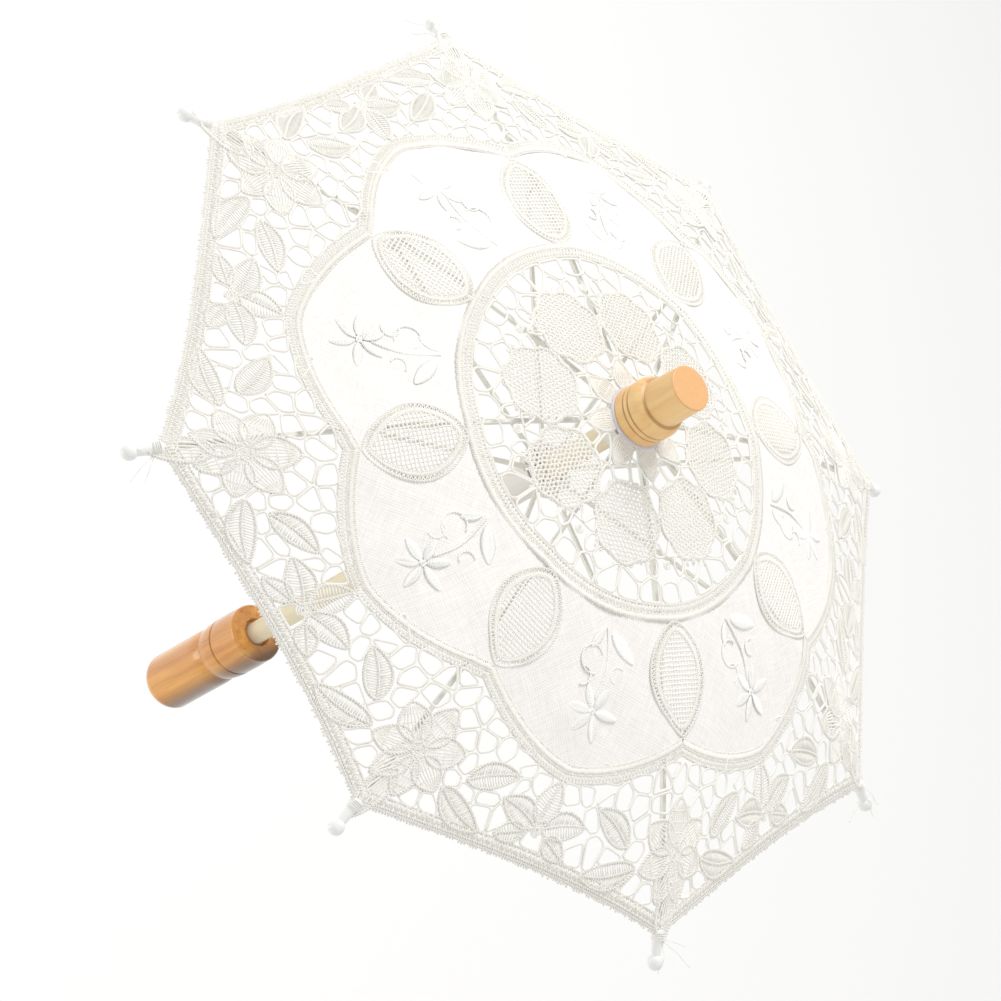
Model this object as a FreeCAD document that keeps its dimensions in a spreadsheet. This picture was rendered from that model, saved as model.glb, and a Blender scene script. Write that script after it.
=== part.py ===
"""Small lace parasol, open, as a parametric assembly.

Frame: origin at the flat end of the handle, on the shaft's axis; +Z runs up the shaft to the ferrule.
Eight ribs stand at azimuths 0, 45, 90 ... degrees. Lengths are in millimetres, angles in degrees.

How it folds: each rib hinges on the wire ring of the notch, each stretcher hinges on the wire ring of
the runner, and the two meet at a rivet under the rib. The rivet is as far from one ring as from the
other, and both rings have the same radius, so a rib and its stretcher always lean by the same angle.
"""
import FreeCAD, Part
import math
import os

import Sketcher

RIBS = 8
XZ = "XZ_Plane"
YZ = "YZ_Plane"


class Size:
    """A driving size or a sum made from some: its number, and the sheet expression that gives it."""

    def __init__(self, value, text):
        self.value = value
        self.text = text

    @staticmethod
    def of(other):
        return other if isinstance(other, Size) else Size(float(other), repr(other))

    def __add__(self, other):
        other = Size.of(other)
        return Size(self.value + other.value, f"({self.text} + {other.text})")

    def __sub__(self, other):
        other = Size.of(other)
        return Size(self.value - other.value, f"({self.text} - {other.text})")

    def __mul__(self, other):
        other = Size.of(other)
        return Size(self.value * other.value, f"({self.text} * {other.text})")

    def __truediv__(self, other):
        other = Size.of(other)
        return Size(self.value / other.value, f"({self.text} / {other.text})")

    def __neg__(self):
        return Size(-self.value, f"(0 - {self.text})")

    def __rsub__(self, other):
        return Size.of(other) - self

    __radd__ = __add__
    __rmul__ = __mul__


def sine(angle):
    return Size(math.sin(math.radians(angle.value)), f"sin({angle.text} * 1 deg)")


def cosine(angle):
    return Size(math.cos(math.radians(angle.value)), f"cos({angle.text} * 1 deg)")


def root_of(square):
    return Size(math.sqrt(square.value), f"sqrt({square.text})")


# ---------------------------------------------------------------- driving sizes
doc = FreeCAD.newDocument("lace_parasol")
sheet = doc.addObject("Spreadsheet::Sheet", "dims")
rows = []


def dim(alias, value):
    """Write one driving size to the sheet and return it."""
    rows.append(alias)
    cell = f"B{len(rows)}"
    sheet.set(f"A{len(rows)}", alias)
    sheet.set(cell, str(value))
    sheet.setAlias(cell, alias)
    return Size(float(value), f"dims.{alias}")


# turned wooden stick: shaft, handle and ferrule
shaft_radius = dim("shaft_radius", 4.6)
shaft_bottom = dim("shaft_bottom", 16)
shaft_top = dim("shaft_top", 321.5)
glue_gap = dim("glue_gap", 0.05)
handle_radius = dim("handle_radius", 12.25)
handle_height = dim("handle_height", 68)
handle_foot_radius = dim("handle_foot_radius", 7.5)
handle_neck_radius = dim("handle_neck_radius", 11.4)
handle_neck_height = dim("handle_neck_height", 42)
handle_ring_height = dim("handle_ring_height", 51.5)
handle_head_radius = dim("handle_head_radius", 12.7)
handle_recess_radius = dim("handle_recess_radius", 6.2)
handle_recess_depth = dim("handle_recess_depth", 2.4)
ferrule_base = dim("ferrule_base", 306.5)
ferrule_length = dim("ferrule_length", 28.5)
ferrule_radius = dim("ferrule_radius", 11.75)
ferrule_ledge_radius = dim("ferrule_ledge_radius", 10.35)
ferrule_ledge_height = dim("ferrule_ledge_height", 13.2)
ferrule_neck_radius = dim("ferrule_neck_radius", 9.2)
ferrule_top_radius = dim("ferrule_top_radius", 8.85)
groove_depth = dim("groove_depth", 0.5)

# hinge rings, shared by the notch at the top and the runner below
ring_radius = dim("ring_radius", 8)
wire_radius = dim("wire_radius", 0.55)
eye_clearance = dim("eye_clearance", 0.07)
eye_radius = dim("eye_radius", 1.35)
tab_thickness = dim("tab_thickness", 1.2)
slot_width = dim("slot_width", 1.6)
slot_floor_radius = dim("slot_floor_radius", 6.2)
crown_radius = dim("crown_radius", 10.5)
crown_lip = dim("crown_lip", 1.6)
crown_depth = dim("crown_depth", 4.5)
slot_depth = dim("slot_depth", 1.9)
notch_height = dim("notch_height", 303)
notch_collar_radius = dim("notch_collar_radius", 6.4)
notch_collar_length = dim("notch_collar_length", 6.5)

# ribs: an arc from the notch ring to the ball of the tip
rib_arc_radius = dim("rib_arc_radius", 560)
rib_start_slope = dim("rib_start_slope", 6.5)
rib_span = dim("rib_span", 19.49)
rib_width = dim("rib_width", 1.6)
rib_depth = dim("rib_depth", 1.6)
rib_wall = dim("rib_wall", 0.35)
rib_tab_length = dim("rib_tab_length", 6)
rib_end_gap = dim("rib_end_gap", 6)

# stretchers, and the clip that hangs each one under its rib
link_length = dim("link_length", 100)
clip_drop = dim("clip_drop", 4)
clip_length = dim("clip_length", 5)
clip_gap = dim("clip_gap", 0.03)
rivet_radius = dim("rivet_radius", 0.55)
stretcher_width = dim("stretcher_width", 1.5)
stretcher_depth = dim("stretcher_depth", 1.3)
stretcher_wall = dim("stretcher_wall", 0.3)

# runner, its stop pin and its catch spring
runner_clearance = dim("runner_clearance", 0.1)
runner_radius = dim("runner_radius", 6.6)
runner_drop = dim("runner_drop", 29)
pin_radius = dim("pin_radius", 0.7)
pin_length = dim("pin_length", 14)
catch_height = dim("catch_height", 204.9)
catch_rise = dim("catch_rise", 20.5)
catch_reach = dim("catch_reach", 6.6)
catch_thickness = dim("catch_thickness", 0.7)
catch_width = dim("catch_width", 1.4)
catch_slot_width = dim("catch_slot_width", 1.8)
catch_pivot_out = dim("catch_pivot_out", 1.2)
catch_azimuth = dim("catch_azimuth", 22.5)

# tips and canopy
tip_length = dim("tip_length", 12.4)
tip_root_radius = dim("tip_root_radius", 2.1)
tip_neck_radius = dim("tip_neck_radius", 1.75)
tip_ball_radius = dim("tip_ball_radius", 2.9)
tip_gate_radius = dim("tip_gate_radius", 0.4)
tip_ball_land = dim("tip_ball_land", 0.4)
cloth_thickness = dim("cloth_thickness", 0.6)
cloth_arc_radius = dim("cloth_arc_radius", 484)
cloth_start_slope = dim("cloth_start_slope", 5.87)
cloth_inner_radius = dim("cloth_inner_radius", 12)
cloth_height = dim("cloth_height", 304.8)
cloth_corner_radius = dim("cloth_corner_radius", 177)
cloth_hem_radius = dim("cloth_hem_radius", 900)
cloth_centre_radius = dim("cloth_centre_radius", 11.2)
cloth_gap = dim("cloth_gap", 0.2)
washer_radius = dim("washer_radius", 12.5)
washer_thickness = dim("washer_thickness", 1.1)
doc.recompute()

# ---------------------------------------------------------------- places worked out from them
pitch = Size(360 / RIBS, f"(360 / {RIBS})")
arc_centre_out = ring_radius - rib_arc_radius * sine(rib_start_slope)
arc_centre_up = notch_height - rib_arc_radius * cosine(rib_start_slope)
shaft_bore = shaft_radius + glue_gap
runner_bore = shaft_radius + runner_clearance


def rivet_place():
    """Angle along the rib's arc, and lean of the link, that put the rivet one link from the ring."""
    inner = rib_arc_radius.value - clip_drop.value
    centre_out = arc_centre_out.value - ring_radius.value
    centre_up = arc_centre_up.value - notch_height.value
    away = math.hypot(centre_out, centre_up)
    link = link_length.value
    at_centre = math.acos((inner**2 + away**2 - link**2) / (2 * inner * away))
    angle = math.degrees(at_centre) + rib_start_slope.value
    rise = centre_up + inner * math.cos(math.radians(angle))
    lean = math.degrees(math.asin(-rise / link))
    return angle, lean


rivet_angle_value, link_lean_value = rivet_place()
rivet_angle = dim("rivet_angle", round(rivet_angle_value, 6))
link_lean = dim("link_lean", round(link_lean_value, 6))
runner_height = notch_height - 2 * link_length * sine(link_lean)
rivet_out = ring_radius + link_length * cosine(link_lean)
rivet_up = notch_height - link_length * sine(link_lean)
stop_pin_height = runner_height + crown_lip + 0.3 + pin_radius
doc.recompute()

parts = []


def named(shape_object, label):
    """Give a finished sub-part its label and list it for checking and export."""
    shape_object.Label = label
    parts.append(shape_object)
    return shape_object


def place(shape_object, out, up, azimuth, lean=0.0):
    """Stand a sub-part at a radius and height, turned to its azimuth and leaned outward-down."""
    out, up, azimuth, lean = Size.of(out), Size.of(up), Size.of(azimuth), Size.of(lean)
    x = f"({out.text}) * cos(({azimuth.text}) * 1 deg)"
    y = f"({out.text}) * sin(({azimuth.text}) * 1 deg)"
    turn = f"create(<<rotation>>; {azimuth.text}; {lean.text}; 0)"
    spot = f"create(<<vector>>; {x}; {y}; {up.text})"
    shape_object.setExpression("Placement", f"create(<<placement>>; {spot}; {turn})")


# ---------------------------------------------------------------- sketch helpers
def new_body(name):
    return doc.addObject("PartDesign::Body", name)


def sketch_on(body, role, name):
    """An empty sketch on one of the body's own origin planes."""
    sketch = body.newObject("Sketcher::SketchObject", name)
    plane = [p for p in body.Origin.OriginFeatures if p.Role == role][0]
    sketch.AttachmentSupport = [(plane, "")]
    sketch.MapMode = "FlatFace"
    return sketch


def drive(sketch, dimensions, joins=()):
    """Add joins and dimensions (kind, where ..., Size) in one step, then bind each dimension to the sheet."""
    first = sketch.ConstraintCount + len(joins)
    wanted = list(joins)
    for kind, *where, size in dimensions:
        wanted.append(Sketcher.Constraint(kind, *where, Size.of(size).value))
    sketch.addConstraint(wanted)
    for index, (kind, *where, size) in enumerate(dimensions):
        if isinstance(size, Size):
            sketch.setExpression(f"Constraints[{first + index}]", size.text)


def outline(sketch, corners):
    """Close a loop through corners (x, y). A corner (x, y, mx, my) is reached by an arc through mx, my."""
    first = sketch.GeometryCount
    count = len(corners)
    spots = [(Size.of(c[0]), Size.of(c[1])) for c in corners]
    flat = [FreeCAD.Vector(x.value, y.value, 0) for x, y in spots]
    edges = []
    ends = []
    for index, corner in enumerate(corners):
        start, end = flat[index - 1], flat[index]
        if len(corner) == 2:
            edges.append(Part.LineSegment(start, end))
            ends.append((1, 2))
            continue
        middle = FreeCAD.Vector(Size.of(corner[2]).value, Size.of(corner[3]).value, 0)
        # a sketch keeps its arcs counter-clockwise, so a clockwise one goes in from its far end
        if (middle - start).cross(end - middle).z > 0:
            edges.append(Part.Arc(start, middle, end))
            ends.append((1, 2))
        else:
            edges.append(Part.Arc(end, middle, start))
            ends.append((2, 1))
    sketch.addGeometry(edges, False)
    joins = []
    dimensions = []
    for index, (x, y) in enumerate(spots):
        geometry = first + index
        after = (index + 1) % count
        last = ends[index][1]
        joins.append(Sketcher.Constraint("Coincident", geometry, last, first + after, ends[after][0]))
        dimensions.append(("DistanceX", -1, 1, geometry, last, x))
        dimensions.append(("DistanceY", -1, 1, geometry, last, y))
        if len(corners[index]) == 4:
            # with both ends held, one coordinate of the centre settles the arc
            chord = flat[index] - flat[index - 1]
            centre = sketch.Geometry[geometry].Center
            upright = abs(chord.y) >= abs(chord.x)
            kind, held = ("DistanceX", centre.x) if upright else ("DistanceY", centre.y)
            dimensions.append((kind, -1, 1, geometry, 3, held))
    drive(sketch, dimensions, joins)


def round_hole(sketch, x, y, radius):
    """A circle in the sketch, inside its outline, so that the pad leaves a hole there."""
    x, y, radius = Size.of(x), Size.of(y), Size.of(radius)
    centre = FreeCAD.Vector(x.value, y.value, 0)
    index = sketch.addGeometry(Part.Circle(centre, FreeCAD.Vector(0, 0, 1), radius.value), False)
    drive(sketch, [
        ("DistanceX", -1, 1, index, 3, x),
        ("DistanceY", -1, 1, index, 3, y),
        ("Radius", index, radius),
    ])


def turned(body, corners, name, axis="V_Axis", angle=360):
    """A turned solid: an outline of (radius, height) corners revolved about a sketch axis."""
    sketch = sketch_on(body, XZ, f"{name}_profile")
    outline(sketch, corners)
    revolution = body.newObject("PartDesign::Revolution", f"{name}_turning")
    revolution.Profile = sketch
    revolution.ReferenceAxis = (sketch, [axis])
    revolution.Angle = angle
    return revolution


def plate(body, role, thickness, name, corners, holes=()):
    """A flat plate, as thick on one side of its plane as on the other."""
    sketch = sketch_on(body, role, f"{name}_outline")
    outline(sketch, corners)
    for hole in holes:
        round_hole(sketch, *hole)
    pad = body.newObject("PartDesign::Pad", f"{name}_plate")
    pad.Profile = sketch
    pad.Midplane = True
    pad.setExpression("Length", Size.of(thickness).text)
    return pad


def cut_through(body, role, width, name, corners):
    """A pocket cut equally to both sides of its plane."""
    sketch = sketch_on(body, role, f"{name}_outline")
    outline(sketch, corners)
    pocket = body.newObject("PartDesign::Pocket", f"{name}_pocket")
    pocket.Profile = sketch
    pocket.Midplane = True
    pocket.setExpression("Length", Size.of(width).text)
    return pocket


def around_axis(body, feature, name):
    """Repeat a pocket at every rib's azimuth."""
    pattern = body.newObject("PartDesign::PolarPattern", f"{name}_pattern")
    pattern.Originals = [feature]
    pattern.Axis = ([a for a in body.Origin.OriginFeatures if a.Role == "Z_Axis"][0], [""])
    pattern.Angle = 360
    pattern.Occurrences = RIBS
    body.Tip = pattern
    return pattern


# ---------------------------------------------------------------- the stick
def make_handle():
    """Turned and varnished grip: round foot, shallow neck, wide head with a ring groove and a sunk bore."""
    body = new_body("handle_body")
    wall = handle_radius
    neck = handle_neck_radius
    ring = handle_ring_height
    head = handle_head_radius
    floor = handle_height - handle_recess_depth
    turned(body, [
        (0, 0),
        (handle_foot_radius, 0),
        (wall, 6.5, wall - 1.5, 1.9),
        (wall, handle_neck_height - 8.5),
        (neck, handle_neck_height - 0.6, wall - 0.2, handle_neck_height - 4),
        (neck, handle_neck_height + 0.2),
        (head - 0.75, handle_neck_height + 0.9),
        (head, ring - 0.6, head - 0.1, handle_neck_height + 5),
        (head - groove_depth, ring),
        (head, ring + 0.6),
        (head - 0.25, handle_height - 2, head + 0.1, ring + 7),
        (head - 1, handle_height, head - 0.45, handle_height - 0.55),
        (handle_recess_radius, handle_height),
        (handle_recess_radius - 0.8, floor),
        (shaft_bore, floor),
        (shaft_bore, shaft_bottom),
        (0, shaft_bottom),
    ], "handle")
    return named(body, "handle")


def make_ferrule():
    """Turned cap above the canopy: two close grooves, a rounded shoulder, a ledge and a tapered neck."""
    body = new_body("ferrule_body")
    base = ferrule_base
    wall = ferrule_radius
    top = base + ferrule_length
    turned(body, [
        (shaft_bore, base),
        (wall - 0.35, base),
        (wall, base + 0.8, wall - 0.08, base + 0.25),
        (wall - 0.05, base + 3.9),
        (wall - 0.05 - groove_depth, base + 4.35),
        (wall - 0.1, base + 4.8),
        (wall - 0.1, base + 6.3),
        (wall - 0.1 - groove_depth, base + 6.75),
        (wall - 0.15, base + 7.2),
        (ferrule_ledge_radius, base + ferrule_ledge_height, wall - 0.25, base + 10.9),
        (ferrule_neck_radius, base + ferrule_ledge_height + 0.5),
        (ferrule_top_radius, top - 0.7),
        (ferrule_top_radius - 0.6, top, ferrule_top_radius - 0.15, top - 0.15),
        (0, top),
        (0, shaft_top),
        (shaft_bore, shaft_top),
    ], "ferrule")
    return named(body, "ferrule")


def make_shaft():
    """Round wooden shaft, bored for the stop pin and the catch's pin and slotted for the catch spring."""
    body = new_body("shaft_body")
    place(body, 0, 0, catch_azimuth)
    edge = 0.5
    turned(body, [
        (0, shaft_bottom),
        (shaft_radius - edge, shaft_bottom),
        (shaft_radius, shaft_bottom + edge),
        (shaft_radius, shaft_top - edge),
        (shaft_radius - edge, shaft_top),
        (0, shaft_top),
    ], "shaft")
    cut_through(body, XZ, catch_slot_width, "catch_slot", [
        (-2.2, catch_height - 2.2),
        (6, catch_height - 2.2),
        (6, catch_height + catch_rise + 1.2),
        (-2.2, catch_height + catch_rise + 1.2),
    ])
    bore_for_pin(body, YZ, 0, stop_pin_height, "stop_pin_bore")
    bore_for_pin(body, XZ, catch_pivot_out, catch_height, "catch_pin_bore")
    return named(body, "shaft")


def bore_for_pin(body, role, across, up, name):
    """A cross bore of the pins' own size, right through the shaft."""
    sketch = sketch_on(body, role, f"{name}_circle")
    round_hole(sketch, across, up, pin_radius)
    pocket = body.newObject("PartDesign::Pocket", name)
    pocket.Profile = sketch
    pocket.Midplane = True
    pocket.setExpression("Length", (shaft_radius * 3).text)


def make_pins():
    """Two small nails across the shaft: the runner's upper stop, and the pin the catch spring turns on."""
    stop = doc.addObject("Part::Cylinder", "stop_pin")
    stop.setExpression("Radius", pin_radius.text)
    stop.setExpression("Height", pin_length.text)
    place(stop, -(pin_length / 2), stop_pin_height, catch_azimuth, 90)
    hinge = doc.addObject("Part::Cylinder", "catch_pin")
    hinge_length = shaft_radius * 2 - 0.6
    hinge.setExpression("Radius", pin_radius.text)
    hinge.setExpression("Height", hinge_length.text)
    turn = f"create(<<rotation>>; {catch_azimuth.text}; 0; 90)"
    along = catch_pivot_out.text
    side = (hinge_length / 2).text
    x = f"{along} * cos(dims.catch_azimuth * 1 deg) - {side} * sin(dims.catch_azimuth * 1 deg)"
    y = f"{along} * sin(dims.catch_azimuth * 1 deg) + {side} * cos(dims.catch_azimuth * 1 deg)"
    spot = f"create(<<vector>>; {x}; {y}; {catch_height.text})"
    hinge.setExpression("Placement", f"create(<<placement>>; {spot}; {turn})")
    both = doc.addObject("Part::Compound", "pins")
    both.Links = [stop, hinge]
    return named(both, "shaft_pins")


def make_catch():
    """Bent leaf that pops out under the runner: an eye on its pin, a slanting leaf and a short shelf."""
    body = new_body("catch_body")
    place(body, 0, 0, catch_azimuth)
    out = catch_pivot_out
    low = catch_height
    high = catch_height + catch_rise
    thick = catch_thickness
    eye = eye_radius
    plate(body, XZ, catch_width, "catch", [
        (out + eye, low, out + 0.955, low - 0.955),
        (out + eye, low + 7),
        (catch_reach, high - thick),
        (catch_reach, high),
        (out + 1.6, high),
        (out + 1.6, high - thick),
        (catch_reach - 1.3, high - thick),
        (out + eye - thick, low + 7.3),
        (out + eye - thick, low + 1.183),
        (out, low - eye, out - eye, low),
    ], holes=[(out, low, pin_radius + eye_clearance)])
    return named(body, "catch_spring")


# ---------------------------------------------------------------- the two crowns that carry the hinge rings
def crown_profile(height, below):
    """The outer corners of a crown, top to bottom, with the groove that its wire ring lies in."""
    groove_floor = ring_radius - wire_radius
    return [
        (crown_radius - 0.5, height + crown_lip),
        (crown_radius, height + crown_lip - 0.5),
        (crown_radius, height + wire_radius),
        (groove_floor, height + wire_radius),
        (groove_floor, height - wire_radius),
        (crown_radius, height - wire_radius),
        (crown_radius, height - crown_depth + 0.6),
        (crown_radius - 0.6, height - crown_depth),
        (below, height - crown_depth),
    ]


def make_notch():
    """Crown glued to the shaft's top: eight slots, open above and below, where the ribs hinge."""
    body = new_body("notch_body")
    foot = notch_height - crown_depth - notch_collar_length
    turned(body, [
        (shaft_bore, notch_height + crown_lip),
        *crown_profile(notch_height, notch_collar_radius),
        (notch_collar_radius, foot),
        (shaft_bore, foot),
    ], "notch")
    low = notch_height - crown_depth - 1
    high = notch_height + crown_lip + 1
    slot = cut_through(body, XZ, slot_width, "notch_slot", [
        (slot_floor_radius, low),
        (crown_radius + 2, low),
        (crown_radius + 2, high),
        (slot_floor_radius, high),
    ])
    doc.recompute()
    around_axis(body, slot, "notch_slots")
    return named(body, "notch")


def make_runner():
    """Sliding collar: a crown with eight slots, open above, on a plain sleeve with a small lower bead."""
    body = new_body("runner_body")
    foot = runner_height - runner_drop
    turned(body, [
        (runner_bore, runner_height + crown_lip),
        *crown_profile(runner_height, runner_radius),
        (runner_radius, foot + 2.2),
        (runner_radius + 0.4, foot + 1.7),
        (runner_radius + 0.4, foot + 0.5),
        (runner_radius, foot),
        (runner_bore + 0.3, foot),
        (runner_bore, foot + 0.6),
    ], "runner")
    low = runner_height - slot_depth
    high = runner_height + crown_lip + 1
    slot = cut_through(body, XZ, slot_width, "runner_slot", [
        (slot_floor_radius, low),
        (crown_radius + 2, low),
        (crown_radius + 2, high),
        (slot_floor_radius, high),
    ])
    doc.recompute()
    around_axis(body, slot, "runner_slots")
    return named(body, "runner")


def make_wire(label, height):
    """Wire ring in a crown's groove, threaded through eight eyes."""
    wire = doc.addObject("Part::Torus", label)
    wire.setExpression("Radius1", ring_radius.text)
    wire.setExpression("Radius2", wire_radius.text)
    place(wire, 0, height, 0)
    return named(wire, label)


# ---------------------------------------------------------------- ribs, their tips, clips and rivets
def make_rib(number, azimuth):
    """Pressed steel rib: a channel open below, along an arc, with a flat eye at the notch end."""
    body = new_body(f"rib_body_{number}")
    tab_angle = rib_tab_length / rib_arc_radius * (180 / math.pi)
    end_angle = rib_end_gap / rib_arc_radius * (180 / math.pi)
    place(body, arc_centre_out, arc_centre_up, azimuth, rib_start_slope + tab_angle)
    side = rib_width / 2
    top = rib_arc_radius + rib_depth / 2
    foot = rib_arc_radius - rib_depth / 2
    sketch = sketch_on(body, YZ, f"rib_channel_{number}")
    outline(sketch, [
        (-side, foot),
        (-side, top),
        (side, top),
        (side, foot),
        (side - rib_wall, foot),
        (side - rib_wall, top - rib_wall),
        (rib_wall - side, top - rib_wall),
        (rib_wall - side, foot),
    ])
    channel = body.newObject("PartDesign::Revolution", f"rib_bend_{number}")
    channel.Profile = sketch
    channel.ReferenceAxis = (sketch, ["H_Axis"])
    channel.setExpression("Angle", (rib_span - tab_angle - end_angle).text)
    eye_out = -(rib_arc_radius * sine(tab_angle))
    eye_up = rib_arc_radius * cosine(tab_angle)
    plate(body, XZ, tab_thickness, f"rib_tab_{number}", [
        (eye_out, eye_up - eye_radius, eye_out - eye_radius, eye_up),
        (eye_out + 3.5, foot + 0.05),
        (5, foot + 0.05),
        (5, top - rib_wall / 2),
        (eye_out + 3.5, top - rib_wall / 2),
        (eye_out, eye_up + eye_radius),
    ], holes=[(eye_out, eye_up, wire_radius + eye_clearance)])
    return named(body, f"rib_{number}")


def make_clip(number, azimuth):
    """Folded clip round the rib, whose two ears hang the stretcher's rivet under it."""
    body = new_body(f"clip_body_{number}")
    place(body, arc_centre_out, arc_centre_up, azimuth, rivet_angle)
    inner = rib_width / 2 + clip_gap
    outer = inner + rib_wall
    seat = rib_arc_radius + rib_depth / 2 + clip_gap
    foot = rib_arc_radius - clip_drop - 1.3
    plate(body, YZ, clip_length, f"clip_{number}", [
        (-outer, foot),
        (-outer, seat + rib_wall),
        (outer, seat + rib_wall),
        (outer, foot),
        (inner, foot),
        (inner, seat),
        (-inner, seat),
        (-inner, foot),
    ])
    hole = sketch_on(body, XZ, f"clip_hole_{number}")
    round_hole(hole, 0, rib_arc_radius - clip_drop, rivet_radius)
    bore = body.newObject("PartDesign::Pocket", f"clip_bore_{number}")
    bore.Profile = hole
    bore.Midplane = True
    bore.setExpression("Length", (outer * 4).text)
    return named(body, f"rib_clip_{number}")


def make_rivet(number, azimuth):
    """Rivet across the clip's ears, with a flat head on each side."""
    body = new_body(f"rivet_body_{number}")
    place(body, arc_centre_out, arc_centre_up, azimuth, rivet_angle)
    ears = rib_width / 2 + clip_gap + rib_wall
    sketch = sketch_on(body, XZ, f"rivet_shank_{number}")
    round_hole(sketch, 0, rib_arc_radius - clip_drop, rivet_radius)
    shank = body.newObject("PartDesign::Pad", f"rivet_pad_{number}")
    shank.Profile = sketch
    shank.Midplane = True
    shank.setExpression("Length", (ears * 2).text)
    for side, turn in (("near", 1), ("far", -1)):
        head = sketch_on(body, XZ, f"rivet_{side}_{number}")
        head.setExpression("AttachmentOffset.Base.z", (ears * turn).text)
        round_hole(head, 0, rib_arc_radius - clip_drop, rivet_radius * 1.8)
        pad = body.newObject("PartDesign::Pad", f"rivet_{side}_pad_{number}")
        pad.Profile = head
        pad.Reversed = turn < 0
        pad.Length = 0.35
    return named(body, f"rib_rivet_{number}")


def make_tip(number, azimuth):
    """Moulded tip: a socket over the rib's end, a collar, a stem, and a ball with a land and a gate mark."""
    body = new_body(f"tip_body_{number}")
    end = rib_start_slope + rib_span
    out = arc_centre_out + rib_arc_radius * sine(end)
    up = arc_centre_up + rib_arc_radius * cosine(end)
    place(body, out, up, azimuth, end)
    socket = 1.3
    socket_end = 0.4 - rib_end_gap
    ball = tip_ball_radius
    land = -tip_ball_land
    gate = tip_gate_radius
    neck = tip_neck_radius
    slant = ball * sine(Size.of(45))
    ball_end = root_of(ball * ball - gate * gate)
    ball_start = land - root_of(ball * ball - neck * neck)
    root = -tip_length
    turned(body, [
        (root, socket),
        (root, tip_root_radius - 0.3),
        (root + 0.7, tip_root_radius + 0.2),
        (root + 3.4, tip_root_radius + 0.2),
        (root + 4.4, tip_root_radius - 0.1),
        (ball_start, neck),
        (land, ball, land - slant, slant),
        (0, ball),
        (ball_end, gate, slant, slant),
        (ball_end, 0),
        (socket_end, 0),
        (socket_end, socket),
    ], f"tip_{number}", "H_Axis")
    return named(body, f"rib_tip_{number}")


def make_stretcher(number, azimuth):
    """Straight steel stretcher: a channel open below, with a flat eye at each end."""
    body = new_body(f"stretcher_body_{number}")
    place(body, ring_radius, runner_height, azimuth, -link_lean)
    far = link_length
    half = stretcher_depth / 2
    tab = rib_tab_length
    plate(body, XZ, stretcher_width, f"stretcher_bar_{number}", [
        (tab, -half),
        (far - tab, -half),
        (far - tab, half),
        (tab, half),
    ])
    cut_through(body, XZ, stretcher_width - stretcher_wall * 2, f"stretcher_channel_{number}", [
        (tab - 1, -half - 1),
        (far - tab + 1, -half - 1),
        (far - tab + 1, half - stretcher_wall),
        (tab - 1, half - stretcher_wall),
    ])
    hole = wire_radius + eye_clearance
    web = half - stretcher_wall / 2
    plate(body, XZ, tab_thickness, f"stretcher_near_{number}", [
        (0, -eye_radius, -eye_radius, 0),
        (3.5, -half + 0.05),
        (tab + 5, -half + 0.05),
        (tab + 5, web),
        (3.5, web),
        (0, eye_radius),
    ], holes=[(0, 0, hole)])
    plate(body, XZ, tab_thickness, f"stretcher_far_{number}", [
        (far, eye_radius, far + eye_radius, 0),
        (far - 3.5, web),
        (far - tab - 5, web),
        (far - tab - 5, -half + 0.05),
        (far - 3.5, -half + 0.05),
        (far, -eye_radius),
    ], holes=[(far, 0, hole)])
    return named(body, f"stretcher_{number}")


# ---------------------------------------------------------------- cloth
def half_gore(side):
    """Half a gore beside a rib that lies along +X: cloth with straight threads from rib to rib."""
    thick = cloth_thickness.value
    half = pitch.value / 2
    radius = cloth_arc_radius.value
    slope = math.radians(cloth_start_slope.value)
    centre = FreeCAD.Vector(
        cloth_inner_radius.value - radius * math.sin(slope), 0,
        cloth_height.value - radius * math.cos(slope))
    up = FreeCAD.Vector(0, 0, thick)

    def on_arc(out):
        drop = math.sqrt(radius**2 - (out - centre.x)**2)
        return FreeCAD.Vector(out, 0, centre.z + drop)

    near, middle, far = on_arc(6), on_arc(100), on_arc(200)
    band = Part.Wire([
        Part.Arc(near, middle, far).toShape(),
        Part.LineSegment(far, far + up).toShape(),
        Part.Arc(far + up, middle + up, near + up).toShape(),
        Part.LineSegment(near + up, near).toShape(),
    ])
    slab = Part.Face(band).extrude(FreeCAD.Vector(0, 200, 0))
    slab.translate(FreeCAD.Vector(0, -100, 0))
    narrowed = FreeCAD.Matrix()
    narrowed.scale(math.cos(math.radians(half)), 1, 1)
    slab = slab.transformGeometry(narrowed)
    slab.rotate(FreeCAD.Vector(0, 0, 0), FreeCAD.Vector(0, 0, 1), side * half)
    # a wedge in plan, from the rib to just short of the middle of the gore
    reach = 260
    gap = cloth_gap.value / 2
    direction = FreeCAD.Vector(math.cos(math.radians(half)), side * math.sin(math.radians(half)), 0)
    back = FreeCAD.Vector(direction.y, -direction.x, 0) * (side * gap)
    corner = FreeCAD.Vector(gap / math.sin(math.radians(half)), 0, 0)
    low = FreeCAD.Vector(0, 0, 150)
    plan = [corner, FreeCAD.Vector(reach, 0, 0), direction * reach + back, corner]
    wedge = Part.Face(Part.makePolygon([p + low for p in plan])).extrude(FreeCAD.Vector(0, 0, 250))
    return slab.common(wedge)


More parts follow.
